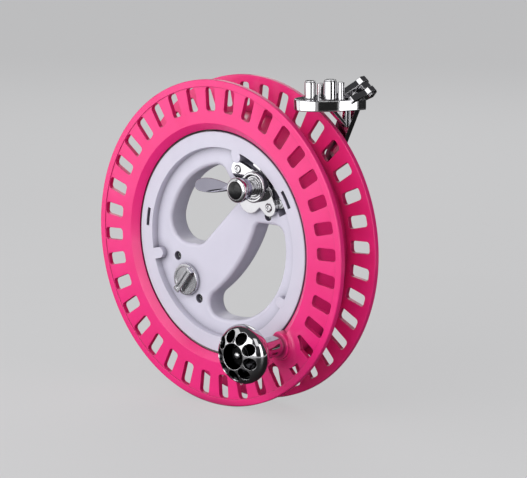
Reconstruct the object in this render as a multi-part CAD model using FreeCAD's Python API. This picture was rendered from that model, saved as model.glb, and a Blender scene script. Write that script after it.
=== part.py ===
import FreeCAD
import Part
import math
import os

# Hand-held kite line winder, in millimetres.
# The drum turns about Y. -Y is the side with the crank and the brake, +Z is up,
# and the origin is on the drum's axis, halfway through its width.

# Drum
drum_radius = 110.0
drum_width = 38.0
flange_thickness = 4.0
lip_step = 0.5
lip_width = 4.7
edge_chamfer = 0.8
slot_count = 36
slot_land = 8.2
slot_width = 8.2
slot_corner = 2.2
slot_margin = 0.3
slot_phase = 3.3
cone_run = 4.6
core_wall = 5.0

# Hub
hub_radius = 75.0
hub_gap = 1.2
hub_setback = 4.6
rim_width = 10.5
recess_depth = 4.4
grip_thickness = 16.0
hole_edge_round = 2.5
thumb_hole_inset = 12.5
finger_hole_inset = 11.5
split_share = 0.73
face_layout_radius = 64.5
thumb_hole_side = -2.8
thumb_hole_tip = (12.5, 30.3)
thumb_hole_root = (-22.8, -5.0)
finger_hole_tip = (27.2, 16.4)
finger_hole_bulge = (9.4, -15.6)
finger_hole_low = -45.6
finger_hole_high = 17.0
boss_angles = (78.0, 193.8, 328.5)
boss_radius = 3.7
boss_reaches = (1.2, 4.6, 0.8)
shell_screw_inset = 4.5
window_angles = (32.0, 172.0)
window_length = 12.5
window_width = 2.6
window_radius = 68.6

# Bearing
ball_diameter = 5.0
ball_count = 24
ball_clearance = 0.1
race_wall = 2.1
race_width = 10.0
cage_thickness = 1.0
cage_width = 7.0
seat_clearance = 0.05
spigot_length = 2.0
end_clearance = 0.1

# Hub screws
screw_radius = 1.5
screw_head_radius = 2.6
screw_head_height = 1.6
screw_sink = 2.0
screw_length = 12.0
front_screw_spots = ((-44.3, -15.1), (-24.4, -42.0), (38.6, 22.4))
drum_screw_count = 6
drum_screw_radius = 1.25
drum_screw_head = 2.0
drum_screw_length = 14.0

# Turn knob
turn_spot = (-35.0, -30.0)
turn_radius = 10.8
turn_height = 2.6
turn_rib_height = 3.0
turn_rib_width = 5.4
turn_groove = 1.4
turn_rib_angle = 51.0
turn_spindle_radius = 2.5
clip_radius = 5.0
clip_thickness = 1.0

# Brake
brake_inset = 12.08
brake_angle = 53.065
brake_plate_thickness = 3.0
brake_disc_radius = 11.5
brake_lobe_radius = 9.5
brake_lobe_offset = 11.5
ear_radius = 5.8
ear_places = ((-17.4, 9.5), (10.2, -13.1))
collar_radius = 10.4
collar_height = 5.2
collar_recess = 1.6
spindle_radius = 5.0
cam_radius = 7.0
cam_offset = 1.5
cam_thickness = 3.4
lever_front = -28.8
lever_thickness = 3.6
lever_length = 43.0
lever_direction = 182.2
lever_ring_radius = 7.4
leaf_width = 9.5
leaf_thickness = 2.2
leaf_twist = 28.0
lever_swing = 36.0
knob_radius = 8.4
knob_height = 5.0
knob_stub_radius = 3.0
knob_stub_length = 2.8
cap_radius = 6.6
cap_height = 2.4
shoe_thickness = 3.0
shoe_angles = (39.5, 66.0)
shoe_stem_width = 12.0
shoe_clearance = 0.3
pad_thickness = 3.0
pad_gap = 1.0
pocket_angles = (25.5, 62.0, 74.0)
pocket_depth = 8.0
plate_outer_inset = 5.9
spring_angle = 33.5
spring_inset = 1.6
spring_radius = 3.9
spring_wire = 1.2
spring_turns = 3
post_radius = 2.2

# Crank
crank_inset = 7.4
crank_angle = -45.4
crank_boss_radius = 9.2
crank_boss_height = 5.0
crank_flare_height = 4.0
crank_flare_width = 5.8
stem_radius = 4.0
stem_shoulder_radius = 7.0
crank_knob_radius = 19.6
crank_knob_half = 13.3
crank_knob_reach = 32.5
crank_knob_wall = 2.4
crank_opening_radius = 9.3
crank_cavity_depth = 8.8
crank_knob_core_wall = 1.6
crank_hole_count = 9
crank_hole_radius = 4.0
crank_hole_tilt = 57.0
crank_hole_phase = 20.0
bush_wall = 1.5
crank_screw_radius = 1.5
crank_screw_head = 2.6
crank_screw_length = 10.0

# Line guide
arm_thickness = 5.0
arm_gap = 2.0
arm_width = 9.0
arm_foot_angles = (24.0, 52.0)
arm_foot_width = 9.8
arm_foot_thickness = 4.0
arm_foot_corner = 3.0
arm_root_angle = 35.8
arm_foot_screw_angles = (26.6, 46.5)
arm_screw_radius = 1.6
arm_screw_head = 3.0
fork_reach = 32.7
fork_angle = 49.9
ear_thickness = 4.4
ear_feet = (11.0, 13.0)
tongue_thickness = 4.0
tongue_length = 10.5
hinge_pin_radius = 1.6
hinge_pin_back = 25.0
guide_plate_drop = 13.55
guide_plate_thickness = 7.3
roller_offset_front = (-22.62, -3.3)
roller_offset_side = (-11.02, 3.1)
roller_radius_front = 3.7
roller_radius_side = 4.3
roller_height = 11.8
axle_radius = 1.6
axle_head_height = 0.8
plate_margin_front = 10.9
plate_margin_side = 7.0
plate_back_offset = (-2.37, 24.0)
plate_back_margin = 7.6
plate_left_offset = (-23.92, 10.4)
plate_left_margin = 8.0
line_eye_offset = (-18.72, 5.2)
line_eye_radius = 3.2
thin_post_offsets = ((-5.52, 7.4), (-25.92, 10.4))
thin_post_radii = (2.2, 2.1)
thin_post_heights = (11.5, 8.5)
web_thickness = 3.6
web_offset = -13.12
web_depth = 14.0
web_reach = 17.0
web_frame = 2.6

# Clearances
running_fit = 0.05
face_gap = 0.3

# Derived places
recess_radius = hub_radius - rim_width
thumb_hole_reach = recess_radius - thumb_hole_inset
finger_hole_reach = recess_radius - finger_hole_inset
split_radius = recess_radius * split_share
arm_foot_inner = hub_radius - arm_foot_width
crank_radius = hub_radius + hub_gap + crank_inset
fork_radius = drum_radius + fork_reach
plate_outer_radius = recess_radius - plate_outer_inset
brake_radius = recess_radius - brake_inset
fork_x = fork_radius * math.cos(math.radians(fork_angle))
fork_z = fork_radius * math.sin(math.radians(fork_angle))
guide_plate_bottom = fork_z - guide_plate_drop
web_place = fork_x + web_offset
far = 2 * drum_radius
front = -drum_width / 2
back = drum_width / 2
core_front = front + flange_thickness
core_back = back - flange_thickness
bore_radius = hub_radius + hub_gap
cone_radius = bore_radius + cone_run
pitch_radius = (hub_radius + bore_radius) / 2
race_inner = pitch_radius - ball_diameter / 2 - race_wall
race_outer = pitch_radius + ball_diameter / 2 + race_wall
core_bore = race_outer + seat_clearance
core_radius = core_bore + core_wall
hub_front_face = front + hub_setback
hub_back_face = back - hub_setback
floor = hub_front_face + recess_depth
grip_back = floor + grip_thickness
race_half = race_width / 2
sleeve_end = race_half + end_clearance
slot_outer = drum_radius - lip_width - slot_margin
slot_inner = cone_radius + slot_land
slot_length = slot_outer - slot_inner
arm_front = back + arm_gap
arm_back = arm_front + arm_thickness

parts = {}


def on_face(spot):
    """Place on the hub's face, drawn for the layout radius, moved in or out with the recess."""
    share = recess_radius / face_layout_radius
    return (spot[0] * share, spot[1] * share)


def from_pin(offset):
    """Place on the guide's plate, counted from the hinge pin."""
    return (fork_x + offset[0], offset[1])


turn_place = on_face(turn_spot)
front_screw_places = [on_face(spot) for spot in front_screw_spots]
brake_place = (
    brake_radius * math.cos(math.radians(brake_angle)),
    brake_radius * math.sin(math.radians(brake_angle)),
)
roller_place_front = from_pin(roller_offset_front)
roller_place_side = from_pin(roller_offset_side)
plate_back_place = from_pin(plate_back_offset)
plate_left_place = from_pin(plate_left_offset)
line_eye_place = from_pin(line_eye_offset)
thin_post_places = [from_pin(offset) for offset in thin_post_offsets]


def vector(x, y, z):
    return FreeCAD.Vector(x, y, z)


def polar(radius, degrees, y=0.0):
    """Point at a radius and angle about the drum axis."""
    turn = math.radians(degrees)
    return vector(radius * math.cos(turn), y, radius * math.sin(turn))


def wire_of(start, *steps):
    """Closed wire from flat points; a pair of points in a step is an arc's middle and end."""
    edges = []
    here = start
    for step in steps:
        if isinstance(step, tuple):
            edges.append(Part.Arc(here, step[0], step[1]).toShape())
            here = step[1]
        else:
            edges.append(Part.LineSegment(here, step).toShape())
            here = step
    if here.distanceToPoint(start) > 1e-6:
        edges.append(Part.LineSegment(here, start).toShape())
    return Part.Wire(edges)


def lathe(points, place=(0.0, 0.0)):
    """Turn a profile of (radius, y) points about Y; a nested pair is an arc's middle and end."""
    def flat(point):
        return vector(point[0], point[1], 0)
    steps = []
    for point in points[1:]:
        if isinstance(point[0], tuple):
            steps.append((flat(point[0]), flat(point[1])))
        else:
            steps.append(flat(point))
    face = Part.Face(wire_of(flat(points[0]), *steps))
    solid = face.revolve(vector(0, 0, 0), vector(0, 1, 0), 360)
    solid.translate(vector(place[0], 0, place[1]))
    return solid


def rod(radius, y_from, y_to, place=(0.0, 0.0)):
    """Round bar along Y."""
    return Part.makeCylinder(radius, y_to - y_from, vector(place[0], y_from, place[1]), vector(0, 1, 0))


def tube(outer, inner, y_from, y_to, place=(0.0, 0.0)):
    """Ring along Y."""
    return rod(outer, y_from, y_to, place).cut(rod(inner, y_from - 1, y_to + 1, place))


def upright(radius, z_from, z_to, place):
    """Round bar along Z at an (x, y) place."""
    return Part.makeCylinder(radius, z_to - z_from, vector(place[0], place[1], z_from))


def prism(points, y_from, y_to):
    """Extrude an outline of (x, z) points along Y; a nested pair is an arc's middle and end."""
    def flat(point):
        return vector(point[0], y_from, point[1])
    steps = []
    for point in points[1:]:
        if isinstance(point[0], tuple):
            steps.append((flat(point[0]), flat(point[1])))
        else:
            steps.append(flat(point))
    face = Part.Face(wire_of(flat(points[0]), *steps))
    return face.extrude(vector(0, y_to - y_from, 0))


def sector(outer, inner, angles, y_from, y_to):
    """Part of a ring between two angles."""
    middle = sum(angles) / 2
    outline = [
        polar(inner, angles[0], y_from),
        polar(outer, angles[0], y_from),
        (polar(outer, middle, y_from), polar(outer, angles[1], y_from)),
        polar(inner, angles[1], y_from),
        (polar(inner, middle, y_from), polar(inner, angles[0], y_from)),
    ]
    face = Part.Face(wire_of(outline[0], *outline[1:]))
    return face.extrude(vector(0, y_to - y_from, 0))


def tangent_points(first, first_radius, second, second_radius, side):
    """Where a line touches two circles on one side."""
    along = math.atan2(second[1] - first[1], second[0] - first[0])
    distance = math.hypot(second[0] - first[0], second[1] - first[1])
    lean = math.acos((first_radius - second_radius) / distance)
    turn = along + side * lean
    unit = (math.cos(turn), math.sin(turn))
    return (
        (first[0] + first_radius * unit[0], first[1] + first_radius * unit[1]),
        (second[0] + second_radius * unit[0], second[1] + second_radius * unit[1]),
    )


def arc_middle(centre, radius, begin, end):
    """Middle of the anticlockwise arc from one point of a circle to another."""
    first = math.atan2(begin[1] - centre[1], begin[0] - centre[0])
    last = math.atan2(end[1] - centre[1], end[0] - centre[0])
    if last < first:
        last += 2 * math.pi
    turn = (first + last) / 2
    return (centre[0] + radius * math.cos(turn), centre[1] + radius * math.sin(turn))


def belt(circles):
    """Outline of a belt round circles ((place, radius), ...), listed anticlockwise."""
    count = len(circles)
    runs = []
    for index in range(count):
        here, here_radius = circles[index]
        after, after_radius = circles[(index + 1) % count]
        runs.append(tangent_points(here, here_radius, after, after_radius, -1))
    outline = [runs[0][0]]
    for index in range(count):
        centre, radius = circles[(index + 1) % count]
        arrive = runs[index][1]
        leave = runs[(index + 1) % count][0]
        outline.append(arrive)
        outline.append((arc_middle(centre, radius, arrive, leave), leave))
    return outline


def turned(shape, degrees, place=(0.0, 0.0)):
    """Copy turned about Y, so that +X moves towards +Z."""
    copy = shape.copy()
    copy.rotate(vector(place[0], 0, place[1]), vector(0, -1, 0), degrees)
    return copy


def circle_copies(shape, count, phase=0.0):
    """Copies spaced evenly about the drum axis."""
    return [turned(shape, phase + 360.0 * index / count) for index in range(count)]


def pan_screw(radius, head_radius, head_height, length, place, y_face, outward):
    """Pan-head screw whose head rests on y_face; outward is the side that the head stands on."""
    tip = y_face - outward * length
    top = y_face + outward * head_height
    shank = rod(radius, min(tip, y_face), max(tip, y_face), place)
    head = rod(head_radius, min(top, y_face), max(top, y_face), place)
    rim = [edge for edge in head.Edges if abs(edge.BoundBox.YMin - top) < 1e-6]
    head = head.makeChamfer(head_height * 0.35, [e for e in rim if len(e.Vertexes) == 1])
    cross = Part.makeBox(head_radius * 1.1, head_height, head_radius * 0.32)
    cross.translate(vector(-head_radius * 0.55, -head_height / 2, -head_radius * 0.16))
    cross = cross.fuse(turned(cross, 90))
    cross.translate(vector(place[0], top, place[1]))
    return head.fuse(shank).cut(cross).removeSplitter()


def add(name, *shapes):
    """Keep solids under a node's name."""
    parts[name] = shapes[0] if len(shapes) == 1 else Part.makeCompound(list(shapes))


# ---------------------------------------------------------------- drum


def slot_cutter(y_from, y_to):
    """One rounded slot, long in the radial direction, on the +X side."""
    half = slot_width / 2
    box = Part.makeBox(slot_length, y_to - y_from, slot_width, vector(slot_inner, y_from, -half))
    upright_edges = [e for e in box.Edges if abs(e.Vertexes[0].Y - e.Vertexes[1].Y) > 1e-6]
    return box.makeFillet(slot_corner, upright_edges)


def flange_profile(side):
    """Flange section: lip, slotted face, cone to the bore and spigot; side is -1 at the front."""
    face = side * drum_width / 2
    inward = -side
    inside = face + inward * flange_thickness
    sunk = face + inward * lip_step
    bore_mouth = face + inward * hub_setback
    lip_inner = drum_radius - lip_width
    return [
        (drum_radius - edge_chamfer, face),
        (drum_radius, face + inward * edge_chamfer),
        (drum_radius, inside - inward * edge_chamfer / 2),
        (drum_radius - edge_chamfer / 2, inside),
        (race_outer, inside),
        (race_outer, inside + inward * spigot_length),
        (bore_radius, inside + inward * spigot_length),
        (bore_radius, bore_mouth),
        (cone_radius, sunk),
        (lip_inner, sunk),
        (lip_inner, face),
    ]


def slotted_flange(side):
    flange = lathe(flange_profile(side))
    face = side * drum_width / 2
    inside = face - side * flange_thickness
    cutter = slot_cutter(min(face, inside) - 1, max(face, inside) + 1)
    return flange.cut(circle_copies(cutter, slot_count, slot_phase))


def crank_boss():
    """Boss for the crank stem, with a flared foot that runs out over the flange."""
    face = front + lip_step
    top = face - crank_boss_height
    flare_start = face - crank_flare_height
    inside = front + flange_thickness
    wide = crank_boss_radius + crank_flare_width
    dip = 1 - math.sqrt(0.5)
    profile = [
        (0, top),
        (crank_boss_radius - edge_chamfer, top),
        (crank_boss_radius, top + edge_chamfer),
        (crank_boss_radius, flare_start),
        ((crank_boss_radius + crank_flare_width * dip, face - crank_flare_height * dip), (wide, face)),
        (crank_boss_radius, inside),
        (0, inside),
    ]
    place = polar(crank_radius, crank_angle)
    boss = lathe(profile, (place.x, place.z))
    return boss.cut(rod(bore_radius, top - 1, inside + 1))


def make_front_flange():
    place = polar(crank_radius, crank_angle)
    socket = rod(stem_radius + seat_clearance, front - crank_boss_height - 1, core_front + 1, (place.x, place.z))
    flange = slotted_flange(-1).fuse(crank_boss()).cut(socket)
    add("front_flange", flange.removeSplitter())


def drum_screw_places():
    middle = core_bore + core_wall / 2 + 0.2
    return [polar(middle, 360.0 * index / drum_screw_count + 20) for index in range(drum_screw_count)]


def make_back_flange():
    flange = slotted_flange(1)
    for place in drum_screw_places():
        flange = flange.cut(rod(drum_screw_radius + running_fit, core_back - 1, back + 1, (place.x, place.z)))
    add("back_flange", flange)


def make_drum_core():
    core = tube(core_radius, core_bore, core_front, core_back)
    for place in drum_screw_places():
        hole = rod(drum_screw_radius + running_fit, back - drum_screw_length - 1, core_back + 1, (place.x, place.z))
        core = core.cut(hole)
    add("drum_core", core)


def make_spacers():
    """Rings between the flange spigots and the outer race."""
    spigot = core_back - spigot_length
    add("bearing_spacers",
        tube(race_outer, bore_radius, -spigot, -sleeve_end),
        tube(race_outer, bore_radius, sleeve_end, spigot))


def make_drum_screws():
    screws = [
        pan_screw(drum_screw_radius, drum_screw_head, screw_head_height, drum_screw_length - lip_step,
                  (place.x, place.z), back - lip_step, 1)
        for place in drum_screw_places()
    ]
    add("drum_screws", *screws)


# ---------------------------------------------------------------- bearing


def race_groove():
    return Part.makeTorus(pitch_radius, ball_diameter / 2 + ball_clearance, vector(0, 0, 0), vector(0, 1, 0))


def make_races():
    inner_edge = pitch_radius - cage_thickness / 2 - 0.7
    outer_edge = pitch_radius + cage_thickness / 2 + 0.7
    add("outer_race", tube(race_outer, outer_edge, -race_half, race_half).cut(race_groove()))
    add("inner_race", tube(inner_edge, race_inner, -race_half, race_half).cut(race_groove()))


def make_balls():
    ball = Part.makeSphere(ball_diameter / 2, vector(pitch_radius, 0, 0))
    add("bearing_balls", *circle_copies(ball, ball_count))


def make_cage():
    cage = tube(pitch_radius + cage_thickness / 2, pitch_radius - cage_thickness / 2,
                -cage_width / 2, cage_width / 2)
    pocket = Part.makeCylinder(ball_diameter / 2 + ball_clearance, 6,
                               vector(pitch_radius - 3, 0, 0), vector(1, 0, 0))
    add("ball_cage", cage.cut(circle_copies(pocket, ball_count)))


# ---------------------------------------------------------------- hub


def thumb_hole():
    """Opening above the grip bar, for the thumb, as a cutter with rounded corners."""
    tip = on_face(thumb_hole_tip)
    root = on_face(thumb_hole_root)
    start = (thumb_hole_side, thumb_arc_end(thumb_hole_side))
    turn = math.radians(136)
    outline = [
        start,
        tip,
        root,
        (-thumb_arc_end(root[1]), root[1]),
        ((thumb_hole_reach * math.cos(turn), thumb_hole_reach * math.sin(turn)), start),
    ]
    return rounded_prism(outline, (8.0, 3.0, 10.0, 15.0), floor - 10, grip_back + 10)


def thumb_arc_end(offset):
    """Other coordinate of a point on the thumb hole's outer arc."""
    return math.sqrt(thumb_hole_reach ** 2 - offset ** 2)


def finger_hole():
    """Opening below the grip bar, for four fingers, as a cutter with rounded corners."""
    low = on_face((0, finger_hole_low))[1]
    high = on_face((0, finger_hole_high))[1]
    right = math.sqrt(finger_hole_reach ** 2 - high ** 2)
    left = math.sqrt(finger_hole_reach ** 2 - low ** 2)
    turn = math.radians(-50)
    outline = [
        on_face(finger_hole_tip),
        (on_face(finger_hole_bulge), (-left, low)),
        ((finger_hole_reach * math.cos(turn), finger_hole_reach * math.sin(turn)), (right, high)),
    ]
    return rounded_prism(outline, (4.5, 9.0, 8.0), floor - 10, grip_back + 10)


def rounded_prism(outline, radii, y_from, y_to):
    """Prism whose edges along Y, at the outline's corners in turn, are rounded."""
    solid = prism(outline, y_from, y_to)
    corners = [outline[0]]
    for point in outline[1:]:
        corners.append(point[1] if isinstance(point[0], tuple) else point)
    for corner, radius in zip(corners, radii):
        nearest = None
        for edge in solid.Edges:
            upright_edge = abs(edge.BoundBox.YLength - (y_to - y_from)) < 1e-6
            ends = edge.Vertexes
            gap = math.hypot(ends[0].X - corner[0], ends[0].Z - corner[1])
            if upright_edge and gap < 0.01:
                nearest = edge
        solid = solid.makeFillet(radius, [nearest])
    return solid


def hub_blank():
    """Whole hub before it is split: rim, recessed faces and the race seat."""
    rim_chamfer = edge_chamfer / 2
    profile = [
        (0, floor),
        (recess_radius - 1, floor),
        (recess_radius, hub_front_face),
        (hub_radius - rim_chamfer, hub_front_face),
        (hub_radius, hub_front_face + rim_chamfer),
        (hub_radius, -race_half - end_clearance),
        (race_inner - seat_clearance, -race_half - end_clearance),
        (race_inner - seat_clearance, race_half + end_clearance),
        (hub_radius, race_half + end_clearance),
        (hub_radius, hub_back_face - rim_chamfer),
        (hub_radius - rim_chamfer, hub_back_face),
        (recess_radius, hub_back_face),
        (recess_radius - 1, grip_back),
        (0, grip_back),
    ]
    return lathe(profile)


def grip_openings():
    return [thumb_hole(), finger_hole()]


def hub_bosses():
    """Half-round bosses on the wall of the front recess, one over each shell screw."""
    bosses = []
    for angle, reach in zip(boss_angles, boss_reaches):
        tip = polar(recess_radius - reach, angle)
        root = polar(recess_radius + 1, angle)
        circles = [((tip.x, tip.z), boss_radius), ((root.x, root.z), boss_radius + 0.01)]
        bosses.append(prism(belt(circles), hub_front_face, floor + 1))
    return bosses


def hub_windows():
    """Narrow windows in the hub's rim that show the mould's snap hooks."""
    windows = []
    for angle in window_angles:
        half_turn = math.degrees(window_length / window_radius / 2)
        inner = window_radius - window_width / 2
        windows.append(sector(inner + window_width, inner, (angle - half_turn, angle + half_turn),
                              hub_front_face - 1, hub_front_face + 5))
    return windows


def brake_frame(along, across):
    """Point at a distance outwards and sideways from the brake spindle."""
    turn = math.atan2(brake_place[1], brake_place[0])
    return (
        brake_place[0] + along * math.cos(turn) - across * math.sin(turn),
        brake_place[1] + along * math.sin(turn) + across * math.cos(turn),
    )


cam_front = floor + end_clearance * 4
cam_back = cam_front + cam_thickness
shoe_inner = brake_radius + cam_radius + shoe_clearance
shoe_outer = shoe_inner + shoe_thickness
pad_outer = bore_radius - pad_gap
pad_inner = pad_outer - pad_thickness
spring_reach = shoe_inner - spring_inset


def brake_pocket():
    """Room under the brake plate for the cam, the shoe and its spring."""
    bottom = cam_back + face_gap
    deep = floor + pocket_depth
    wide = sector(recess_radius - 0.6, spring_reach - spring_radius - face_gap, pocket_angles[:2], floor - 0.5, deep)
    slim = sector(recess_radius - 0.6, shoe_inner - 1.2, (pocket_angles[1] - 1, pocket_angles[2]), floor - 0.5, deep)
    pocket = wide.fuse([slim, rod(cam_radius + cam_offset + face_gap, floor - 0.5, bottom, brake_place)])
    half = math.degrees((shoe_stem_width / 2 + face_gap) / recess_radius)
    channel = sector(hub_radius + 1, shoe_inner, (brake_angle - half, brake_angle + half), cam_front - face_gap, bottom)
    return [pocket, channel]


def screw_recess(place):
    return [
        rod(screw_head_radius + 0.5, floor - 1, floor + screw_sink + screw_head_height, place),
        rod(screw_radius + running_fit, floor - 1, floor + screw_sink + screw_head_height + screw_length + 1, place),
    ]


def shell_screw_places():
    return [polar(recess_radius - shell_screw_inset, angle) for angle in boss_angles]


shell_screw_face = grip_back - screw_sink
shell_screw_length = shell_screw_face - floor - 1.0


def hub_holes():
    """Holes for screws, the turn knob and the arm."""
    cutters = []
    for place in front_screw_places:
        cutters += screw_recess(place)
    for place in shell_screw_places():
        spot = (place.x, place.z)
        cutters.append(rod(screw_radius + running_fit, shell_screw_face - shell_screw_length - 1, grip_back, spot))
        cutters.append(rod(screw_head_radius + 0.5, shell_screw_face, hub_back_face + 1, spot))
    cutters.append(rod(turn_spindle_radius + running_fit, floor - 1, grip_back + 1, turn_place))
    for place in arm_screw_places():
        cutters.append(rod(arm_screw_radius + running_fit, hub_back_face - screw_length, hub_back_face + 1,
                           (place.x, place.z)))
    for ear in ear_places:
        spot = (brake_place[0] + ear[0], brake_place[1] + ear[1])
        cutters.append(rod(screw_radius + running_fit, floor - 1, floor + screw_length - 3, spot))
    return cutters


def rounded_mouths(shell, y_face):
    """Round the edges of the grip openings on one face."""
    inner = recess_radius - 2
    edges = []
    for edge in shell.Edges:
        box = edge.BoundBox
        flat_on_face = abs(box.YMin - y_face) < 1e-4 and abs(box.YMax - y_face) < 1e-4
        reach = max(math.hypot(v.X, v.Z) for v in edge.Vertexes)
        if flat_on_face and reach < inner:
            edges.append(edge)
    return shell.makeFillet(hole_edge_round, edges)


def make_hub():
    """Two shells, each kept as its ring and, inside the split radius, its half of the grip bar."""
    blank = hub_blank().cut(grip_openings())
    size = 2 * hub_radius + 10
    corner = vector(-size / 2, -size, -size / 2)
    front_half = Part.makeBox(size, size, size, corner)
    shell = rounded_mouths(blank.common(front_half), floor)
    shell = shell.fuse(hub_bosses())
    shell = shell.cut(hub_windows() + brake_pocket() + hub_holes()).removeSplitter()
    rear = rounded_mouths(blank.cut(front_half), grip_back).cut(hub_holes())
    middle = rod(split_radius, front, back)
    add("hub_front", shell.cut(middle))
    add("grip_front", shell.common(middle))
    add("hub_back", rear.cut(middle))
    add("grip_rear", rear.common(middle))


def make_hub_screws():
    screws = []
    for place in front_screw_places:
        screws.append(pan_screw(screw_radius, screw_head_radius, screw_head_height, screw_length,
                                place, floor + screw_sink + screw_head_height, -1))
    add("hub_screws", *screws)
    rear = []
    for place in shell_screw_places():
        rear.append(pan_screw(screw_radius, screw_head_radius, screw_head_height, shell_screw_length,
                              (place.x, place.z), shell_screw_face, 1))
    add("shell_screws", *rear)


def make_turn_knob():
    """Round knob with a raised bar and a groove along it, on a spindle through the hub."""
    face = floor - face_gap
    top = face - turn_height
    disc = lathe([
        (0, top),
        (turn_radius - 0.9, top),
        (turn_radius, top + 0.9),
        (turn_radius, face),
        (turn_spindle_radius, face),
        (turn_spindle_radius, grip_back + clip_thickness + 1.2),
        (0, grip_back + clip_thickness + 1.2),
    ], turn_place)
    rib = Part.makeBox(2 * turn_radius, turn_rib_height + 0.5, turn_rib_width)
    rib.translate(vector(-turn_radius, top - turn_rib_height, -turn_rib_width / 2))
    rib = rib.makeChamfer(0.7, [e for e in rib.Edges if abs(e.BoundBox.YMax - (top - turn_rib_height)) < 1e-6])
    groove = Part.makeBox(1.5 * turn_radius, 2, turn_groove)
    groove.translate(vector(-0.75 * turn_radius, top - turn_rib_height - 1, -turn_groove / 2))
    rib = turned(rib.cut(groove), turn_rib_angle)
    rib.translate(vector(turn_place[0], 0, turn_place[1]))
    rib = rib.common(rod(turn_radius, top - turn_rib_height - 1, face, turn_place))
    clip_seat = tube(turn_spindle_radius + 1, turn_spindle_radius - 0.6, grip_back + 0.2,
                     grip_back + 0.2 + clip_thickness, turn_place)
    add("turn_knob", disc.fuse(rib).cut(clip_seat).removeSplitter())
    clip = tube(clip_radius, turn_spindle_radius - 0.55, grip_back + 0.25, grip_back + 0.15 + clip_thickness,
                turn_place)
    mouth = Part.makeBox(clip_radius + 1, 4, 3.2, vector(turn_place[0], grip_back - 1, turn_place[1] - 1.6))
    add("turn_clip", clip.cut(mouth))


# ---------------------------------------------------------------- brake


def ear_spots():
    return [(brake_place[0] + ear[0], brake_place[1] + ear[1]) for ear in ear_places]


plate_top = floor - brake_plate_thickness
collar_top = plate_top - collar_height


def make_brake_plate():
    lobe = brake_frame(-brake_lobe_offset, 0)
    plate = prism(belt([(brake_place, brake_disc_radius), (lobe, brake_lobe_radius)]), plate_top, floor)
    for spot in ear_spots():
        plate = plate.fuse(prism(belt([(brake_place, brake_disc_radius * 0.8), (spot, ear_radius)]), plate_top, floor))
    plate = plate.common(rod(plate_outer_radius, plate_top - 1, floor + 1)).removeSplitter()
    plate = plate.cut(rod(spindle_radius + running_fit, plate_top - 1, floor + 1, brake_place))
    for spot in ear_spots():
        plate = plate.cut(rod(screw_radius + running_fit, plate_top - 1, floor + 1, spot))
        plate = plate.cut(rod(screw_head_radius + 0.4, plate_top - 1, plate_top + 0.8, spot))
    add("brake_plate", plate)


def make_brake_collar():
    """Stepped collar round the spindle, with a ring-shaped recess in its face."""
    add("brake_collar", lathe([
        (spindle_radius + running_fit, plate_top),
        (collar_radius, plate_top),
        (collar_radius, collar_top + edge_chamfer),
        (collar_radius - edge_chamfer, collar_top),
        (collar_radius - 2.0, collar_top),
        (collar_radius - 2.8, collar_top + collar_recess),
        (spindle_radius + 1.4, collar_top + collar_recess),
        (spindle_radius + 1.0, collar_top + 0.4),
        (spindle_radius + running_fit, collar_top + 0.4),
    ], brake_place))


def make_brake_screws():
    screws = [pan_screw(screw_radius, screw_head_radius, screw_head_height, screw_length - 4, spot,
                        plate_top + 0.8, -1) for spot in ear_spots()]
    add("brake_screws", *screws)


def make_brake_spindle():
    """Spindle with the eccentric cam at its back end and a stub for the knob at its front."""
    lever_back = lever_front + lever_thickness
    bar = rod(spindle_radius, lever_front, cam_back, brake_place)
    stub = rod(knob_stub_radius, lever_front - knob_stub_length, lever_front + 1, brake_place)
    centre = brake_frame(0, -cam_offset)
    cam = rod(cam_radius, cam_front, cam_back, centre)
    ring = tube(spindle_radius + 1.1, spindle_radius - 0.5, lever_back + 0.1, lever_back + 1.3, brake_place)
    add("brake_spindle", bar.fuse([stub, cam, ring]).removeSplitter())


def leaf_section(distance, width, thickness, twist, lift):
    """Lens-shaped section of the lever at a distance from the spindle."""
    half = width / 2
    rise = thickness / 2
    ends = [vector(distance, 0, half), vector(distance, 0, -half)]
    wire = Part.Wire([
        Part.Arc(ends[0], vector(distance, -rise, 0), ends[1]).toShape(),
        Part.Arc(ends[1], vector(distance, rise, 0), ends[0]).toShape(),
    ])
    wire.rotate(vector(distance, 0, 0), vector(1, 0, 0), twist)
    wire.translate(vector(0, lift, 0))
    return wire


def make_brake_lever():
    """Leaf-shaped finger lever on a ring that is clamped round the spindle."""
    middle = lever_front + lever_thickness / 2
    ring = tube(lever_ring_radius, spindle_radius + running_fit, lever_front, lever_front + lever_thickness)
    steps = (
        (lever_ring_radius - 1.2, 0.42, 1.0, 0.0),
        (lever_length * 0.34, 0.50, 0.95, 0.35),
        (lever_length * 0.56, 0.92, 1.0, 0.8),
        (lever_length * 0.76, 1.0, 1.0, 1.0),
        (lever_length * 0.92, 0.72, 0.9, 1.0),
        (lever_length, 0.22, 0.6, 1.0),
    )
    sections = [
        leaf_section(distance, leaf_width * wide, leaf_thickness * thick, leaf_twist * twist, middle)
        for distance, wide, thick, twist in steps
    ]
    leaf = Part.makeLoft(sections, True, False)
    lever = ring.fuse(leaf).cut(rod(spindle_radius + running_fit, lever_front - far, lever_front + far))
    lever = turned(lever, lever_direction)
    lever.translate(vector(brake_place[0], 0, brake_place[1]))
    add("brake_lever", lever)


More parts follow.
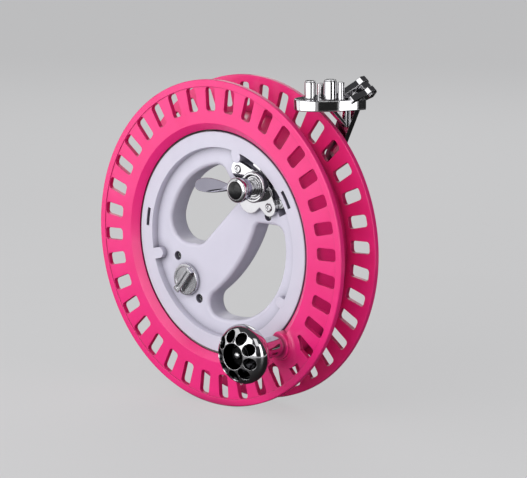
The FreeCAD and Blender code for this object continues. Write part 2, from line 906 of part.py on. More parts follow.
def make_brake_knob():
    """Cup-shaped knob at the spindle's end, with a domed cap set into it."""
    base = lever_front - end_clearance
    top = base - knob_height
    rim = cap_radius + 0.1
    floor_of_cup = top + 1.4
    add("brake_knob", lathe([
        (knob_stub_radius + running_fit, base),
        (knob_radius - 1.2, base),
        (knob_radius, base - 1.2),
        (knob_radius, top + 0.9),
        (knob_radius - 0.9, top),
        (rim, top),
        (rim, floor_of_cup),
        (0, floor_of_cup),
        (0, lever_front - knob_stub_length - running_fit),
        (knob_stub_radius + running_fit, lever_front - knob_stub_length - running_fit),
    ], brake_place))
    rise = top - cap_height
    add("brake_knob_cap", lathe([
        (0, floor_of_cup),
        (cap_radius, floor_of_cup),
        (cap_radius, top - 0.2),
        ((cap_radius * 0.62, rise + 0.55), (0.8, rise)),
        (0, rise),
    ], brake_place))


def make_brake_shoe():
    """Arched shoe with a stem through the hub's rim; the pad is its outer end."""
    arch = sector(shoe_outer, shoe_inner, shoe_angles, cam_front, cam_back)
    half = math.degrees(shoe_stem_width / 2 / recess_radius)
    stem = sector(pad_inner, shoe_inner + 0.5, (brake_angle - half, brake_angle + half), cam_front, cam_back)
    add("brake_shoe", arch.fuse(stem).removeSplitter())
    add("brake_pad", sector(pad_outer, pad_inner, (brake_angle - half, brake_angle + half), cam_front, cam_back))


def make_return_spring():
    """Close-wound spring on a post; its coils are plain rings, and one leg rests by the shoe."""
    spot = polar(spring_reach, spring_angle)
    place = (spot.x, spot.z)
    add("spring_post", rod(post_radius, floor + end_clearance, floor + pocket_depth, place))
    coils = None
    for turn in range(spring_turns):
        y = cam_front + spring_wire / 2 + turn * spring_wire * 1.02
        ring = tube(spring_radius, post_radius + 0.2, y - spring_wire / 2, y + spring_wire / 2, place)
        ring = ring.makeChamfer(spring_wire * 0.28, [e for e in ring.Edges if e.Length > 20])
        coils = ring if coils is None else coils.fuse(ring)
    leg_start = polar(spring_reach + spring_radius - 0.8, spring_angle)
    leg_end = polar(shoe_outer - 0.6, shoe_angles[0] - 0.9)
    y = cam_front + spring_wire / 2
    start = vector(leg_start.x, y, leg_start.z)
    leg = Part.makeCylinder(spring_wire / 2, start.distanceToPoint(vector(leg_end.x, y, leg_end.z)), start,
                            vector(leg_end.x - leg_start.x, 0, leg_end.z - leg_start.z))
    add("return_spring", coils.fuse(leg))


# ---------------------------------------------------------------- crank


crank_spot = polar(crank_radius, crank_angle)
crank_place = (crank_spot.x, crank_spot.z)
boss_top = front + lip_step - crank_boss_height
knob_centre = boss_top - crank_knob_reach
knob_mouth = knob_centre - crank_knob_half * math.sqrt(1 - (crank_opening_radius / crank_knob_radius) ** 2)
knob_back = knob_centre + crank_knob_half * 0.9
cavity_floor = knob_mouth + crank_cavity_depth


def ellipse_radius(radius, half, y):
    """Radius of the knob's oval section at a distance from its middle."""
    return radius * math.sqrt(max(0.0, 1 - (y / half) ** 2))


def oval_profile(radius, half, y_from, y_to):
    """Two arcs that follow the knob's oval between two heights, as lathe steps."""
    steps = []
    marks = [y_from + (y_to - y_from) * index / 4 for index in range(5)]
    for index in (1, 3):
        middle = (ellipse_radius(radius, half, marks[index]), knob_centre + marks[index])
        end = (ellipse_radius(radius, half, marks[index + 1]), knob_centre + marks[index + 1])
        steps.append((middle, end))
    return steps


def make_crank_stem():
    add("crank_stem", lathe([
        (0, front + flange_thickness - 1),
        (stem_radius, front + flange_thickness - 1),
        (stem_radius, boss_top),
        (stem_shoulder_radius, boss_top),
        (stem_shoulder_radius, knob_back + face_gap + 0.6),
        (stem_shoulder_radius - 0.6, knob_back + face_gap),
        (stem_radius, knob_back + face_gap),
        (stem_radius, cavity_floor - face_gap),
        (crank_screw_radius + running_fit, cavity_floor - face_gap),
        (crank_screw_radius + running_fit, cavity_floor + crank_screw_length + 0.5),
        (0, cavity_floor + crank_screw_length + 0.5),
    ], crank_place))


def make_crank_knob():
    """Pierced oval knob: a hollow shell round a tube that turns on the stem."""
    bush_radius = stem_radius + running_fit + bush_wall
    core_outer = bush_radius + crank_knob_core_wall
    back_end = knob_back - knob_centre
    mouth = knob_mouth - knob_centre
    inner_radius = crank_knob_radius - crank_knob_wall
    inner_half = crank_knob_half - crank_knob_wall * 0.8
    cavity_mouth = -inner_half * math.sqrt(1 - (crank_opening_radius / inner_radius) ** 2)
    cavity_end = inner_half * math.sqrt(1 - ((core_outer + 1) / inner_radius) ** 2)
    outline = [(bush_radius, knob_back)]
    outline += [(ellipse_radius(crank_knob_radius, crank_knob_half, back_end), knob_back)]
    outline += oval_profile(crank_knob_radius, crank_knob_half, back_end, 0)
    outline += oval_profile(crank_knob_radius, crank_knob_half, 0, mouth)
    outline += [(crank_opening_radius, knob_centre + cavity_mouth)]
    outline += oval_profile(inner_radius, inner_half, cavity_mouth, 0)
    outline += oval_profile(inner_radius, inner_half, 0, cavity_end)
    outline += [(core_outer, knob_centre + cavity_end), (core_outer, cavity_floor), (bush_radius, cavity_floor)]
    knob = lathe(outline)
    tilt = math.radians(crank_hole_tilt)
    along = vector(math.sin(tilt), -math.cos(tilt), 0)
    start = vector(0, knob_centre, 0) + along * (core_outer + 2)
    hole = Part.makeCylinder(crank_hole_radius, crank_knob_radius, start, along)
    knob = knob.cut(circle_copies(hole, crank_hole_count, crank_hole_phase))
    knob.translate(vector(crank_place[0], 0, crank_place[1]))
    add("crank_knob", knob)
    add("crank_bush", tube(bush_radius - 0.02, stem_radius + running_fit, cavity_floor, knob_back, crank_place))


def make_crank_screw():
    seat = cavity_floor - face_gap
    washer = rod(stem_radius + running_fit + bush_wall - 0.3, seat - 0.8, seat, crank_place)
    screw = pan_screw(crank_screw_radius, crank_screw_head, 1.8, crank_screw_length, crank_place, seat - 0.8, -1)
    add("crank_screw", washer.fuse(screw).removeSplitter())


# ---------------------------------------------------------------- line guide


def arm_screw_places():
    radius = (arm_foot_inner + hub_radius - 1.5) / 2
    return [polar(radius, angle) for angle in arm_foot_screw_angles]


fork_spot = vector(fork_x, 0, fork_z)
out = vector(math.cos(math.radians(fork_angle)), 0, math.sin(math.radians(fork_angle)))
side = vector(math.sin(math.radians(fork_angle)), 0, -math.cos(math.radians(fork_angle)))
plate_top_z = guide_plate_bottom + guide_plate_thickness


def radial_plate(points, thickness, offset=0.0):
    """Plate in the plane of the fork: an outline of (radius, y) points, thickened sideways."""
    start = side * (offset - thickness / 2)
    wire = Part.makePolygon([out * r + vector(0, y, 0) + start for r, y in points + points[:1]])
    return Part.Face(wire).extrude(side * thickness)


def hinge_bore():
    """Bore for the hinge pin, across the fork."""
    start = fork_spot + vector(0, hinge_pin_back, 0) - side * (far / 2)
    return Part.makeCylinder(hinge_pin_radius + running_fit, far, start, side)


def make_guide_arm():
    """Arm from the hub's back: foot, riser, strap and the tongue between the guide's ears."""
    foot = sector(hub_radius - 1.5, arm_foot_inner, arm_foot_angles, hub_back_face, hub_back_face + arm_foot_thickness)
    corners = [e for e in foot.Edges if abs(e.BoundBox.YLength - arm_foot_thickness) < 1e-6]
    foot = foot.makeFillet(arm_foot_corner, corners)
    riser_angles = (arm_root_angle - 5.5, arm_root_angle + 5.5)
    riser = sector(hub_radius - 1.5, arm_foot_inner + 1, riser_angles, hub_back_face + 1, arm_back)
    root = polar(hub_radius - 5, arm_root_angle)
    end = polar(fork_radius - tongue_length - arm_width / 2, fork_angle)
    strap = prism(belt([((root.x, root.z), arm_width / 2), ((end.x, end.z), arm_width / 2 + 1.2)]),
                  arm_front, arm_back)
    tongue = [
        (fork_radius - tongue_length - arm_width / 2, arm_front),
        (fork_radius + 1.6, arm_front),
        (fork_radius + 3.4, arm_front + 1.6),
        (fork_radius + 3.4, hinge_pin_back + 1.8),
        (fork_radius + 1.6, hinge_pin_back + 3.4),
        (fork_radius - 3.4, hinge_pin_back + 3.4),
        (fork_radius - tongue_length - arm_width / 2, arm_back),
    ]
    arm = foot.fuse([riser, strap, radial_plate(tongue, tongue_thickness)])
    arm = arm.cut(hinge_bore())
    for place in arm_screw_places():
        arm = arm.cut(rod(arm_screw_radius + running_fit, hub_back_face - 1, arm_back, (place.x, place.z)))
    add("guide_arm", arm.removeSplitter())


def make_arm_screws():
    screws = []
    for place in arm_screw_places():
        screws.append(pan_screw(arm_screw_radius, arm_screw_head, 1.8, screw_length - 2, (place.x, place.z),
                                hub_back_face + arm_foot_thickness, 1))
    add("arm_screws", *screws)


def make_guide_pin():
    length = tongue_thickness + 2 * (face_gap + ear_thickness) + 1.6
    start = fork_spot + vector(0, hinge_pin_back, 0) - side * (length / 2)
    pin = Part.makeCylinder(hinge_pin_radius, length, start, side)
    head = Part.makeCylinder(hinge_pin_radius + 1, 0.8, start, side)
    tail = Part.makeCylinder(hinge_pin_radius + 0.7, 0.8, start + side * (length - 0.8), side)
    add("guide_pin", pin.fuse([head, tail]).removeSplitter())


def eye_plate():
    """Rounded plate over the winding channel, cut flat where it meets the arm."""
    circles = [
        (roller_place_front, plate_margin_front),
        (roller_place_side, plate_margin_side),
        (plate_back_place, plate_back_margin),
        (plate_left_place, plate_left_margin),
    ]
    outline = belt(circles)

    def flat(point):
        return vector(point[0], point[1], guide_plate_bottom)
    steps = []
    for point in outline[1:]:
        steps.append((flat(point[0]), flat(point[1])) if isinstance(point[0], tuple) else flat(point))
    plate = Part.Face(wire_of(flat(outline[0]), *steps)).extrude(vector(0, 0, guide_plate_thickness))
    beyond = Part.makeBox(far, far, far, vector(0, arm_front - face_gap, guide_plate_bottom - far / 2))
    return plate.cut(beyond)


def support_web():
    """Pierced triangular web under the plate, whose back edge leans on the arm."""
    rear = arm_front - face_gap
    top = guide_plate_bottom + 0.5
    reach = rear - web_reach

    def web(inset, low, high):
        return Part.makePolygon([
            vector(web_place - web_thickness / 2, rear - inset, high),
            vector(web_place - web_thickness / 2, rear - inset, low),
            vector(web_place - web_thickness / 2, reach + inset * 2.2, high),
            vector(web_place - web_thickness / 2, rear - inset, high),
        ])
    outer = Part.Face(web(0, top - web_depth, top)).extrude(vector(web_thickness, 0, 0))
    inner = Part.Face(web(web_frame, top - web_depth + web_frame * 1.9, top - 1.0))
    return outer.cut(inner.extrude(vector(web_thickness, 0, 0)))


def hinge_ears():
    """Two ears that rise from the plate's back end to the hinge pin."""
    offset = tongue_thickness / 2 + face_gap + ear_thickness / 2
    shapes = []
    for way in (-1, 1):
        sunk = (guide_plate_bottom + 1.0 - side.z * way * offset) / out.z
        foot_front = ear_feet[0] if way < 0 else ear_feet[1]
        outline = [
            (sunk, foot_front),
            (sunk + guide_plate_thickness / out.z, foot_front - 0.5),
            (fork_radius + 1.0, hinge_pin_back - 4.4),
            (fork_radius + 4.2, hinge_pin_back - 2.4),
            (fork_radius + 4.6, hinge_pin_back + 1.8),
            (fork_radius + 2.4, hinge_pin_back + 4.2),
            (fork_radius - 2.6, hinge_pin_back + 4.2),
            (fork_radius - tongue_length + 4.0, arm_front - face_gap),
            (sunk, arm_front - face_gap),
        ]
        shapes.append(radial_plate(outline, ear_thickness, way * offset))
    return shapes


def make_guide_plate():
    body = eye_plate().fuse([support_web()] + hinge_ears())
    body = body.cut(hinge_bore())
    body = body.cut(upright(line_eye_radius, guide_plate_bottom - 20, plate_top_z + 1, line_eye_place))
    for place in (roller_place_front, roller_place_side):
        body = body.cut(upright(axle_radius, guide_plate_bottom + 2, plate_top_z + 1, place))
    add("guide_plate", body.removeSplitter())


def make_rollers():
    base = plate_top_z + end_clearance * 2
    names = ("front", "side")
    places = (roller_place_front, roller_place_side)
    radii = (roller_radius_front, roller_radius_side)
    for name, place, radius in zip(names, places, radii):
        roller = upright(radius, base, base + roller_height, place)
        rims = [e for e in roller.Edges if len(e.Vertexes) == 1 and e.Closed]
        roller = roller.makeChamfer(0.5, [e for e in rims if abs(e.BoundBox.ZLength) < 1e-6])
        roller = roller.cut(upright(axle_radius + running_fit, base - 1, base + roller_height + 1, place))
        add("roller_" + name, roller)
        top = base + roller_height + end_clearance * 2
        axle = upright(axle_radius, guide_plate_bottom + 2, top, place)
        head = upright(radius - 0.9, top, top + axle_head_height, place)
        add("axle_" + name, axle.fuse(head).removeSplitter())


def make_thin_posts():
    posts = []
    for place, radius, height in zip(thin_post_places, thin_post_radii, thin_post_heights):
        post = upright(radius, plate_top_z, plate_top_z + height, place)
        top = [e for e in post.Edges if abs(e.BoundBox.ZMin - plate_top_z - height) < 1e-6]
        posts.append(post.makeChamfer(0.5, top))
    add("thin_posts", *posts)


def make_all():
    make_front_flange()
    make_back_flange()
    make_drum_core()
    make_spacers()
    make_drum_screws()
    make_races()
    make_balls()
    make_cage()
    make_hub()
    make_hub_screws()
    make_turn_knob()
    make_brake_plate()
    make_brake_collar()
    make_brake_screws()
    make_brake_spindle()
    make_brake_lever()
    make_brake_knob()
    make_brake_shoe()
    make_return_spring()
    make_crank_stem()
    make_crank_knob()
    make_crank_screw()
    make_guide_arm()
    make_arm_screws()
    make_guide_pin()
    make_guide_plate()
    make_rollers()
    make_thin_posts()


make_all()
os.makedirs("parts", exist_ok=True)
for name, shape in parts.items():
    shape.exportStep("parts/" + name + ".step")
    print(name, len(shape.Solids), round(shape.Volume, 1), shape.isValid())
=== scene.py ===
"""Kite line winder: the looks of its pieces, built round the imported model.

Sizes are in millimetres and become metres where a mesh is drawn. The drum turns about Y,
the crank and the brake are on its -Y side, and +Z is up.
"""

import logging
import math
from collections.abc import Callable, Sequence
from dataclasses import dataclass, replace
from enum import Enum

import bmesh
import bpy
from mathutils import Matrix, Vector


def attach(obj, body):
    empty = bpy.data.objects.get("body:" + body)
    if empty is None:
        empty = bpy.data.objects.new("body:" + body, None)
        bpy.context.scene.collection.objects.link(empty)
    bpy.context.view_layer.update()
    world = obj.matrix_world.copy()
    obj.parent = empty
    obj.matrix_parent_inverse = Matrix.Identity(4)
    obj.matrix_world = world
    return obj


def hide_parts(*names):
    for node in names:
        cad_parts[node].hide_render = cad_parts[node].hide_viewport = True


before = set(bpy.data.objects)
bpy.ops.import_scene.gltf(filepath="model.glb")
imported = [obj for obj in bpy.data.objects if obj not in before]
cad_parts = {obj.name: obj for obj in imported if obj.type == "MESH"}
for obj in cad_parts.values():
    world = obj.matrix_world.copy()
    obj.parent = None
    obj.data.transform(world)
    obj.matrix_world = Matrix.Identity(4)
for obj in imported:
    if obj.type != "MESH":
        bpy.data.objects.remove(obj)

LOG = logging.getLogger("winder")
MM = 0.001
TURN = 2 * math.pi
ALONG = Vector((0, 1, 0))
UP = Vector((0, 0, 1))

Spot = tuple[float, float]
Corner = tuple[float, float, float]
Colour = tuple[float, float, float]
Piece = bpy.types.Object
Material = bpy.types.Material
Tree = bpy.types.NodeTree
Node = bpy.types.Node
Socket = bpy.types.NodeSocket


class Slot(Enum):
    """Material slots of the winder."""

    PINK = "pink_plastic"
    WHITE = "white_plastic"
    CHROME = "chrome"
    STEEL = "steel"
    SILVER = "silver_paint"
    BLACK = "black_gloss"
    RUBBER = "rubber"
    NYLON = "nylon"


class Body(Enum):
    """Bodies that move by themselves."""

    HUB = "hub"
    DRUM = "drum"
    HANDLE = "crank_handle"
    ARM = "brake_arm"
    CUP = "brake_cup"
    BLOCK = "brake_block"
    LATCH = "latch"
    GUIDE = "guide"
    FRONT_ROLLER = "front_roller"
    SIDE_ROLLER = "side_roller"


# ---------------------------------------------------------------- drawing helpers


def polar(radius: float, degrees: float, y: float = 0.0) -> Vector:
    """Place at a radius and angle about the drum's axis.

    Args:
        radius: distance from the axis.
        degrees: angle from +X towards +Z.
        y: place along the axis.

    Returns:
        The place, in millimetres.
    """
    turn = math.radians(degrees)
    return Vector((radius * math.cos(turn), y, radius * math.sin(turn)))


def deselect_all() -> None:
    """Leave edit mode and select nothing."""
    active = bpy.context.view_layer.objects.active
    if active is not None and active.mode != "OBJECT":
        bpy.ops.object.mode_set(mode="OBJECT")
    bpy.ops.object.select_all(action="DESELECT")


def choose(*pieces: Piece) -> None:
    """Select only these pieces and make the first one active."""
    deselect_all()
    for piece in pieces:
        piece.select_set(True)
    bpy.context.view_layer.objects.active = pieces[0]


def begin(name: str) -> Piece:
    """Start an empty piece in edit mode.

    Args:
        name: name of the piece.

    Returns:
        The piece.
    """
    deselect_all()
    bpy.ops.mesh.primitive_plane_add(size=MM)
    piece = bpy.context.object
    piece.name = name
    piece.data.name = name
    bpy.ops.object.mode_set(mode="EDIT")
    bpy.ops.mesh.select_all(action="SELECT")
    bpy.ops.mesh.delete(type="VERT")
    return piece


def pick(piece: Piece, kind: str, test: Callable[..., bool]) -> None:
    """Select the vertices, edges or faces of a piece in edit mode that pass a test.

    Args:
        piece: piece that is being edited.
        kind: "VERT", "EDGE" or "FACE".
        test: says whether an element is wanted.
    """
    bpy.ops.mesh.select_mode(type=kind)
    bpy.ops.mesh.select_all(action="DESELECT")
    mesh = bmesh.from_edit_mesh(piece.data)
    for element in {"VERT": mesh.verts, "EDGE": mesh.edges, "FACE": mesh.faces}[kind]:
        if test(element):
            element.select = True
    mesh.select_flush_mode()
    bmesh.update_edit_mesh(piece.data)


def draw(piece: Piece, points: Sequence[Vector], closed: bool = False) -> None:
    """Draw a run of edges by extruding one vertex, and leave it selected.

    Args:
        piece: piece that is being edited.
        points: the run's corners.
        closed: joins the last point to the first.
    """
    bpy.ops.mesh.select_mode(type="VERT")
    bpy.ops.mesh.select_all(action="DESELECT")
    bpy.ops.mesh.primitive_plane_add(size=MM)
    bpy.ops.mesh.merge(type="CENTER")
    bpy.ops.transform.translate(value=points[0] * MM)
    for here, after in zip(points, points[1:]):
        bpy.ops.mesh.extrude_vertices_move(TRANSFORM_OT_translate={"value": (after - here) * MM})
    if closed:
        pick(piece, "VERT", lambda v: not v.link_faces and len(v.link_edges) == 1)
        bpy.ops.mesh.edge_face_add()
    pick(piece, "VERT", lambda v: not v.link_faces)


def settle(piece: Piece, merge: float = 0.002) -> Piece:
    """Merge doubled vertices, turn the faces outwards and leave edit mode.

    Args:
        piece: piece that is being edited.
        merge: distance under which vertices are one, in millimetres.

    Returns:
        The piece.
    """
    bpy.ops.mesh.select_mode(type="VERT")
    bpy.ops.mesh.select_all(action="SELECT")
    bpy.ops.mesh.remove_doubles(threshold=merge * MM)
    bpy.ops.mesh.normals_make_consistent(inside=False)
    bpy.ops.object.mode_set(mode="OBJECT")
    return piece


def rounded(corners: Sequence[Corner], closed: bool = True, steps: int = 4) -> list[Spot]:
    """Round the corners of a flat outline.

    Args:
        corners: (x, y, radius) of each corner; a radius of 0 keeps it sharp.
        closed: whether the last corner is joined to the first.
        steps: pieces of a full quarter turn.

    Returns:
        The outline's points.
    """
    outline: list[Spot] = []
    count = len(corners)
    for index, (x, y, radius) in enumerate(corners):
        if radius <= 0 or (not closed and index in (0, count - 1)):
            outline.append((x, y))
            continue
        corner = Vector((x, y))
        before = (Vector(corners[index - 1][:2]) - corner).normalized()
        after = (Vector(corners[(index + 1) % count][:2]) - corner).normalized()
        half = before.angle(after) / 2
        centre = corner + (before + after).normalized() * (radius / math.sin(half))
        start = corner + before * (radius / math.tan(half)) - centre
        end = corner + after * (radius / math.tan(half)) - centre
        sweep = start.angle_signed(end)
        pieces = max(2, round(abs(sweep) / (math.pi / 2) * steps))
        for piece in range(pieces + 1):
            turn = -sweep * piece / pieces
            outline.append((
                centre.x + start.x * math.cos(turn) - start.y * math.sin(turn),
                centre.y + start.x * math.sin(turn) + start.y * math.cos(turn),
            ))
    return outline


def oblong(low: float, high: float, half: float, corner: float) -> list[Spot]:
    """Outline of a rounded rectangle from low to high one way and from -half to half the other."""
    return rounded([(low, -half, corner), (high, -half, corner), (high, half, corner), (low, half, corner)])


def quarter(steps: int) -> list[float]:
    """Angles of a quarter turn in equal steps, in radians."""
    return [math.radians(90 * step / steps) for step in range(steps + 1)]


def belt(circles: Sequence[tuple[Spot, float]], steps: int, bulges: Sequence[float]) -> list[Spot]:
    """Outline of a belt round circles that are listed anticlockwise.

    Args:
        circles: the centre and radius of each.
        steps: pieces of each arc.
        bulges: how far the run after each circle swells outwards.

    Returns:
        The outline's points.
    """
    leans = []
    count = len(circles)
    for index in range(count):
        (x, y), radius = circles[index]
        (next_x, next_y), next_radius = circles[(index + 1) % count]
        along = math.atan2(next_y - y, next_x - x)
        leans.append(along - math.acos((radius - next_radius) / math.hypot(next_x - x, next_y - y)))
    outline = []
    for index in range(count):
        (x, y), radius = circles[index]
        first, last = leans[index - 1], leans[index]
        while last < first:
            last += TURN
        for step in range(steps + 1):
            turn = first + (last - first) * step / steps
            outline.append((x + radius * math.cos(turn), y + radius * math.sin(turn)))
        (next_x, next_y), next_radius = circles[(index + 1) % count]
        way = (math.cos(last), math.sin(last))
        start, end = outline[-1], (next_x + next_radius * way[0], next_y + next_radius * way[1])
        for share in (step / 10 for step in range(1, 10)):
            swell = 4 * bulges[index] * share * (1 - share)
            outline.append(tuple(start[k] + (end[k] - start[k]) * share + swell * way[k] for k in (0, 1)))
    return outline


def evened(outline: Sequence[Spot], count: int, passes: int) -> list[Spot]:
    """Divide a closed outline into equal runs and even out its bends.

    Args:
        outline: the outline's points.
        count: how many points it gets.
        passes: how often each point moves towards its neighbours.

    Returns:
        The outline's new points.
    """
    corners = [Vector(spot) for spot in outline]
    corners.append(corners[0])
    reach = [0.0]
    for before, after in zip(corners, corners[1:]):
        reach.append(reach[-1] + (after - before).length)
    points = []
    run = 0
    for index in range(count):
        goal = reach[-1] * index / count
        while reach[run + 1] <= goal:
            run += 1
        share = (goal - reach[run]) / (reach[run + 1] - reach[run])
        points.append(corners[run].lerp(corners[run + 1], share))
    for _ in range(passes):
        points = [(points[k - 1] + points[k] * 2 + points[(k + 1) % count]) / 4 for k in range(count)]
    return [(point.x, point.y) for point in points]


def lathe(
    name: str,
    profile: Sequence[Spot],
    centre: Vector,
    axis: Vector = ALONG,
    steps: int = 96,
    closed: bool = False,
) -> Piece:
    """Spin a profile about an axis.

    Args:
        name: name of the piece.
        profile: (radius, height along the axis) points.
        centre: point on the axis from which heights count.
        axis: direction of the axis.
        steps: faces round the piece.
        closed: joins the profile's last point to its first, for a ring.

    Returns:
        The finished solid.
    """
    radial = axis.orthogonal().normalized()
    piece = begin(name)
    draw(piece, [centre + radial * radius + axis * height for radius, height in profile], closed)
    bpy.ops.mesh.spin(steps=steps, angle=TURN, center=centre * MM, axis=axis)
    return settle(piece)


def turned(
    name: str, corners: Sequence[Corner], centre: Vector, axis: Vector = ALONG, steps: int = 96,
    closed: bool = False,
) -> Piece:
    """Spin a profile that is given by the radius, the height and the rounding of its corners."""
    return lathe(name, rounded(corners, closed), centre, axis, steps, closed)


def rod(
    name: str, radius: float, low: float, high: float, centre: Vector, axis: Vector = ALONG, steps: int = 96,
) -> Piece:
    """Plain round bar between two heights along its axis."""
    return lathe(name, [(0, low), (radius, low), (radius, high), (0, high)], centre, axis, steps)


def slab(name: str, outline: Sequence[Vector], push: Vector) -> Piece:
    """Extrude a flat outline into a plate.

    Args:
        name: name of the piece.
        outline: the corners in turn.
        push: how far and which way the outline is extruded.

    Returns:
        The finished solid.
    """
    piece = begin(name)
    draw(piece, outline)
    bpy.ops.mesh.edge_face_add()
    bpy.ops.mesh.extrude_region_move(TRANSFORM_OT_translate={"value": push * MM})
    return settle(piece)


def flat_slab(name: str, outline: Sequence[Spot], low: float, high: float) -> Piece:
    """Plate lying flat between two heights, from an outline of (x, y) points."""
    return slab(name, [Vector((x, y, low)) for x, y in outline], Vector((0, 0, high - low)))


def modify(piece: Piece, kind: str, **settings: object) -> None:
    """Add a modifier to a piece and apply it.

    Args:
        piece: piece to change.
        kind: the modifier's type.
        **settings: its settings by name.
    """
    choose(piece)
    bpy.ops.object.modifier_add(type=kind)
    modifier = piece.modifiers[-1]
    for key, value in settings.items():
        setattr(modifier, key, value)
    bpy.ops.object.modifier_apply(modifier=modifier.name)


def soften(piece: Piece, width: float, segments: int = 2, angle: float = 35.0) -> None:
    """Round every edge that is sharper than an angle.

    Args:
        piece: piece to change.
        width: width of the rounding in millimetres.
        segments: faces across it.
        angle: least angle between faces that counts as an edge, in degrees.
    """
    modify(piece, "BEVEL", width=width * MM, segments=segments, limit_method="ANGLE",
           angle_limit=math.radians(angle), use_clamp_overlap=True)


def combine(piece: Piece, how: str, *others: Piece) -> Piece:
    """Join, cut or trim a piece with others, which are used up.

    Args:
        piece: piece to change.
        how: "UNION", "DIFFERENCE" or "INTERSECT".
        *others: closed solids.

    Returns:
        The piece.
    """
    for other in others:
        modify(piece, "BOOLEAN", operation=how, object=other, solver="EXACT")
        bpy.data.objects.remove(other, do_unlink=True)
    return piece


def mend(piece: Piece) -> Piece:
    """Merge a finished piece's doubled vertices and turn its faces outwards."""
    choose(piece)
    bpy.ops.object.mode_set(mode="EDIT")
    return settle(piece, merge=0.004)


def packed_copy(name: str, *nodes: str) -> Piece:
    """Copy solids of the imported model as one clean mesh.

    One solid gets its flat faces joined, ready for its edges to be rounded. Several that touch each
    other become one solid without the walls between them.

    Args:
        name: name of the new piece.
        *nodes: names of the solids.

    Returns:
        The piece.
    """
    copies = []
    for node in nodes:
        copy = bpy.data.objects.new(name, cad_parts[node].data.copy())
        bpy.context.scene.collection.objects.link(copy)
        choose(copy)
        bpy.ops.object.mode_set(mode="EDIT")
        bpy.ops.mesh.select_all(action="SELECT")
        bpy.ops.mesh.remove_doubles(threshold=0.001 * MM)
        bpy.ops.mesh.customdata_custom_splitnormals_clear()
        if len(nodes) == 1:
            bpy.ops.mesh.dissolve_limited(angle_limit=math.radians(0.4))
        bpy.ops.object.mode_set(mode="OBJECT")
        copies.append(copy)
    piece = combine(copies[0], "UNION", *copies[1:])
    piece.name = name
    piece.data.name = name
    return mend(piece) if len(nodes) > 1 else piece


def smooth(piece: Piece, angle: float) -> None:
    """Shade a piece smoothly up to an angle, with flat faces kept flat."""
    choose(piece)
    bpy.ops.object.shade_smooth_by_angle(angle=math.radians(angle))
    modify(piece, "WEIGHTED_NORMAL", keep_sharp=True, weight=80)


# ---------------------------------------------------------------- finishes


class Board:
    """Nodes of a material or a node group, added and joined in one call each."""

    def __init__(self, tree: Tree) -> None:
        """Work on a node tree."""
        self.tree = tree

    def add(self, kind: str, sockets: dict | None = None, **settings: object) -> Node:
        """Add a node.

        Args:
            kind: the node's type.
            sockets: values or output sockets for its inputs, by name or number.
            **settings: the node's own settings.

        Returns:
            The node.
        """
        node = self.tree.nodes.new(kind)
        for key, value in settings.items():
            setattr(node, key, value)
        self.fill(node, sockets or {})
        return node

    def fill(self, node: Node, sockets: dict) -> None:
        """Give a node's inputs, by name or number, their values or the sockets that feed them."""
        for key, value in sockets.items():
            if isinstance(value, Socket):
                self.tree.links.new(value, node.inputs[key])
            else:
                node.inputs[key].default_value = value

    def close(self, *values: object) -> Tree:
        """Feed a group's outputs in their order, and give the finished group."""
        self.add("NodeGroupOutput", dict(enumerate(values)))
        return self.tree

    def maths(self, operation: str, *values: object) -> Socket:
        """Output of a maths node on these values or sockets."""
        return self.add("ShaderNodeMath", dict(enumerate(values)), operation=operation).outputs[0]

    def product(self, first: object, *others: object) -> Socket:
        """Output of several values multiplied in turn."""
        for other in others:
            first = self.maths("MULTIPLY", first, other)
        return first

    def span(self, value: object, low: float, high: float, start: object, end: object) -> Socket:
        """Output of a value moved from one range to another."""
        sockets = {"Value": value, "From Min": low, "From Max": high, "To Min": start, "To Max": end}
        return self.add("ShaderNodeMapRange", sockets).outputs[0]

    def blend(self, factor: object, first: object, second: object) -> Socket:
        """Output of two colours mixed by a factor."""
        return self.add("ShaderNodeMix", {0: factor, 6: first, 7: second}, data_type="RGBA").outputs[2]

    def bump(self, height: object, depth: float, strength: float, normal: object) -> Socket:
        """Output of a normal tilted by a height pattern of a depth in millimetres."""
        sockets = {"Height": height, "Distance": depth * MM, "Strength": strength, "Normal": normal}
        return self.add("ShaderNodeBump", sockets).outputs[0]

    def noise(self, vector: object, scale: object, detail: float = 3.0) -> Socket:
        """Output of a noise pattern."""
        sockets = {"Vector": vector, "Scale": scale, "Detail": detail}
        return self.add("ShaderNodeTexNoise", sockets).outputs[0]


def start_material(name: str) -> tuple[Material, Board]:
    """New material without nodes, and its board."""
    material = bpy.data.materials.new(name)
    material.use_nodes = True
    material.node_tree.nodes.clear()
    return material, Board(material.node_tree)


def start_group(name: str, inputs: dict[str, str], outputs: dict[str, str]) -> tuple[Board, Node]:
    """Start a node group.

    Args:
        name: name of the group.
        inputs: socket types by input name.
        outputs: socket types by output name.

    Returns:
        The board of the group and its input node.
    """
    tree = bpy.data.node_groups.new(name, "ShaderNodeTree")
    for way, sockets in (("INPUT", inputs), ("OUTPUT", outputs)):
        for title, kind in sockets.items():
            tree.interface.new_socket(title, in_out=way, socket_type="NodeSocket" + kind)
    board = Board(tree)
    return board, board.add("NodeGroupInput")


def moulded_grain() -> Tree:
    """Fine mould texture and slow mottling of a plastic surface.

    Returns:
        The node group.
    """
    board, given = start_group("moulded_grain", {"Vector": "Vector", "Scale": "Float"},
                               {"Height": "Float", "Mottle": "Float"})
    vector, scale = given.outputs[0], given.outputs[1]
    fine = board.noise(vector, scale, 2.0)
    slow = board.noise(vector, board.maths("MULTIPLY", scale, 0.02), 3.0)
    return board.close(fine, board.span(slow, 0.3, 0.7, 0.0, 1.0))


